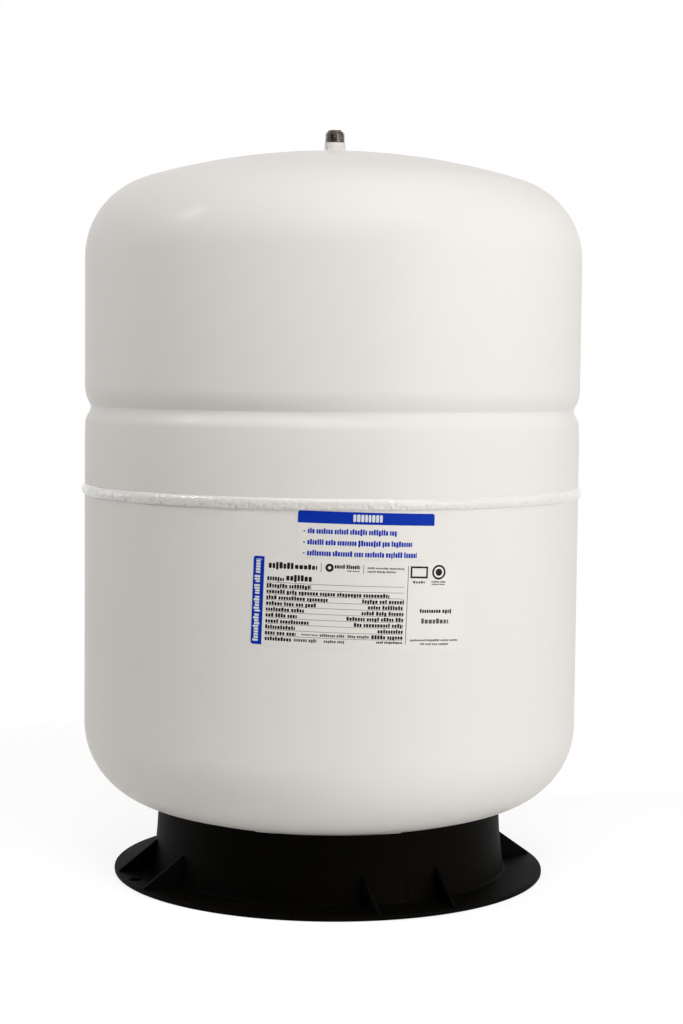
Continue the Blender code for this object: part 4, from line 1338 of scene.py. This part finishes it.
# Lamps stand round the tank, counted in degrees from the front towards the right
lamps = {
    "right": {"azimuth": 42, "elevation": 5, "size": (1.1, 0.9), "power": 12.1},
    "farRight": {"azimuth": 72, "elevation": 5, "size": (1.1, 0.9), "power": 6.0},
    "farLeft": {"azimuth": -110, "elevation": 5, "size": (0.9, 0.9), "power": 3.4},
    "highLeft": {"azimuth": -76, "elevation": 40, "size": (0.25, 0.5), "power": 9.9},
    "highRight": {"azimuth": 44, "elevation": 40, "size": (0.25, 0.5), "power": 5.8},
    "highFront": {"azimuth": 10, "elevation": 48, "size": (1.4, 0.7), "power": 10.9},
    "overhead": {"azimuth": 0, "elevation": 75, "size": (1.4, 1.2), "power": 5.1},
    "back": {"azimuth": 180, "elevation": 8, "size": (0.7, 1.0), "power": 14.0, "glossy": False},
}


def emptied(tree):
    for old in list(tree.nodes):
        tree.nodes.remove(old)
    return Nodes(tree)


def addFloor():
    deselectAll()
    bpy.ops.mesh.primitive_circle_add(vertices=96, radius=studio["floorRadius"], fill_type="NGON",
                                      location=(0.0, 0.0, -studio["floorDrop"]))
    ground = bpy.context.object
    ground.name = "floor"
    material = bpy.data.materials.new("floor_paper")
    material.use_nodes = True
    nodes = emptied(material.node_tree)
    seen = seenDirectly(nodes)
    paper = nodes.add("BsdfDiffuse", {}, {"Color": studio["floorTone"]})
    share = studio["shadowShare"]
    shaded = nodes.add("BsdfDiffuse", {}, {"Color": (share, share, share, 1.0)})
    glow = nodes.add("Emission", {}, {"Color": (1.0, 1.0, 1.0, 1.0), "Strength": studio["floorGlow"]})
    white = nodes.add("AddShader", {}, {0: shaded, 1: glow})
    mixed = nodes.add("MixShader", {}, {0: seen, 1: paper, 2: white})
    clear = nodes.add("BsdfTransparent", {}, {})
    fromBelow = nodes.add("NewGeometry", {}, {}, "Backfacing")
    mixed = nodes.add("MixShader", {}, {0: fromBelow, 1: mixed, 2: clear})  # shows the tank's underside
    end = material.node_tree.nodes.new("ShaderNodeOutputMaterial")
    nodes.feed(end.inputs["Surface"], mixed)
    ground.data.materials.append(material)


def seenDirectly(nodes):
    seen = nodes.add("LightPath", {}, {}, "Is Camera Ray")
    inGloss = nodes.add("LightPath", {}, {}, "Is Glossy Ray")
    through = nodes.add("LightPath", {}, {}, "Is Transmission Ray")
    return nodes.maths("MAXIMUM", nodes.maths("MAXIMUM", seen, inGloss), through)


def addSurroundings():
    world = bpy.data.worlds.new("studio")
    bpy.context.scene.world = world
    world.use_nodes = True
    nodes = emptied(world.node_tree)
    direction = nodes.add("TexCoord", {}, {}, "Generated")
    up = nodes.add("SeparateXYZ", {}, {0: direction}, "Z")
    sky = studio["skyLevel"] + studio["skyBelow"] * nodes.maths("MAXIMUM", 0.0 - up, 0.0)
    level = sky + (1.0 - sky) * seenDirectly(nodes)
    white = nodes.add("Background", {}, {"Color": (1.0, 1.0, 1.0, 1.0), "Strength": level})
    end = world.node_tree.nodes.new("ShaderNodeOutputWorld")
    nodes.feed(end.inputs["Surface"], white)


def addCurtain():
    # dark cloth behind the camera: reflections show it, as the dark side of a studio
    low, high = studio["curtainHeights"]
    curtain = drawOutline("curtain", [(studio["curtainRadius"], low), (studio["curtainRadius"], high)], False)
    selectMesh()
    bpy.ops.mesh.spin(steps=40, angle=studio["curtainReach"], center=(0, 0, 0), axis=(0, 0, 1))
    objectMode()
    middle = sum((vert.co for vert in curtain.data.vertices), Vector())
    curtain.data.transform(Matrix.Rotation(-pi / 2 - atan2(middle.y, middle.x), 4, "Z"))
    material = bpy.data.materials.new("dark_cloth")
    material.use_nodes = True
    cloth = material.node_tree.nodes["Principled BSDF"]
    cloth.inputs["Base Color"].default_value = studio["curtainTone"]
    cloth.inputs["Specular IOR Level"].default_value = 0.0
    curtain.data.materials.append(material)
    curtain.visible_camera = False
    curtain.visible_diffuse = False
    curtain.visible_shadow = False


def addLamps():
    aim = Vector((0.0, 0.0, (cadBox[0].z + cadBox[1].z) / 2))
    for name, lamp in lamps.items():
        turn = radians(lamp["azimuth"])
        rise = radians(lamp["elevation"])
        way = Vector((sin(turn) * cos(rise), -cos(turn) * cos(rise), sin(rise)))
        bpy.ops.object.light_add(type="AREA", location=aim + way * studio["lampDistance"])
        made = bpy.context.object
        made.name = name
        made.rotation_euler = way.to_track_quat("Z", "Y").to_euler()
        made.data.shape = "RECTANGLE"
        made.data.size = lamp["size"][0]
        made.data.size_y = lamp["size"][1]
        made.data.energy = lamp["power"]
        made.data.color = studio["lampTone"]
        made.visible_glossy = lamp.get("glossy", True)


addFloor()
addSurroundings()
addCurtain()
addLamps()
bpy.context.scene.view_settings.view_transform = "Standard"
print("studio lit")
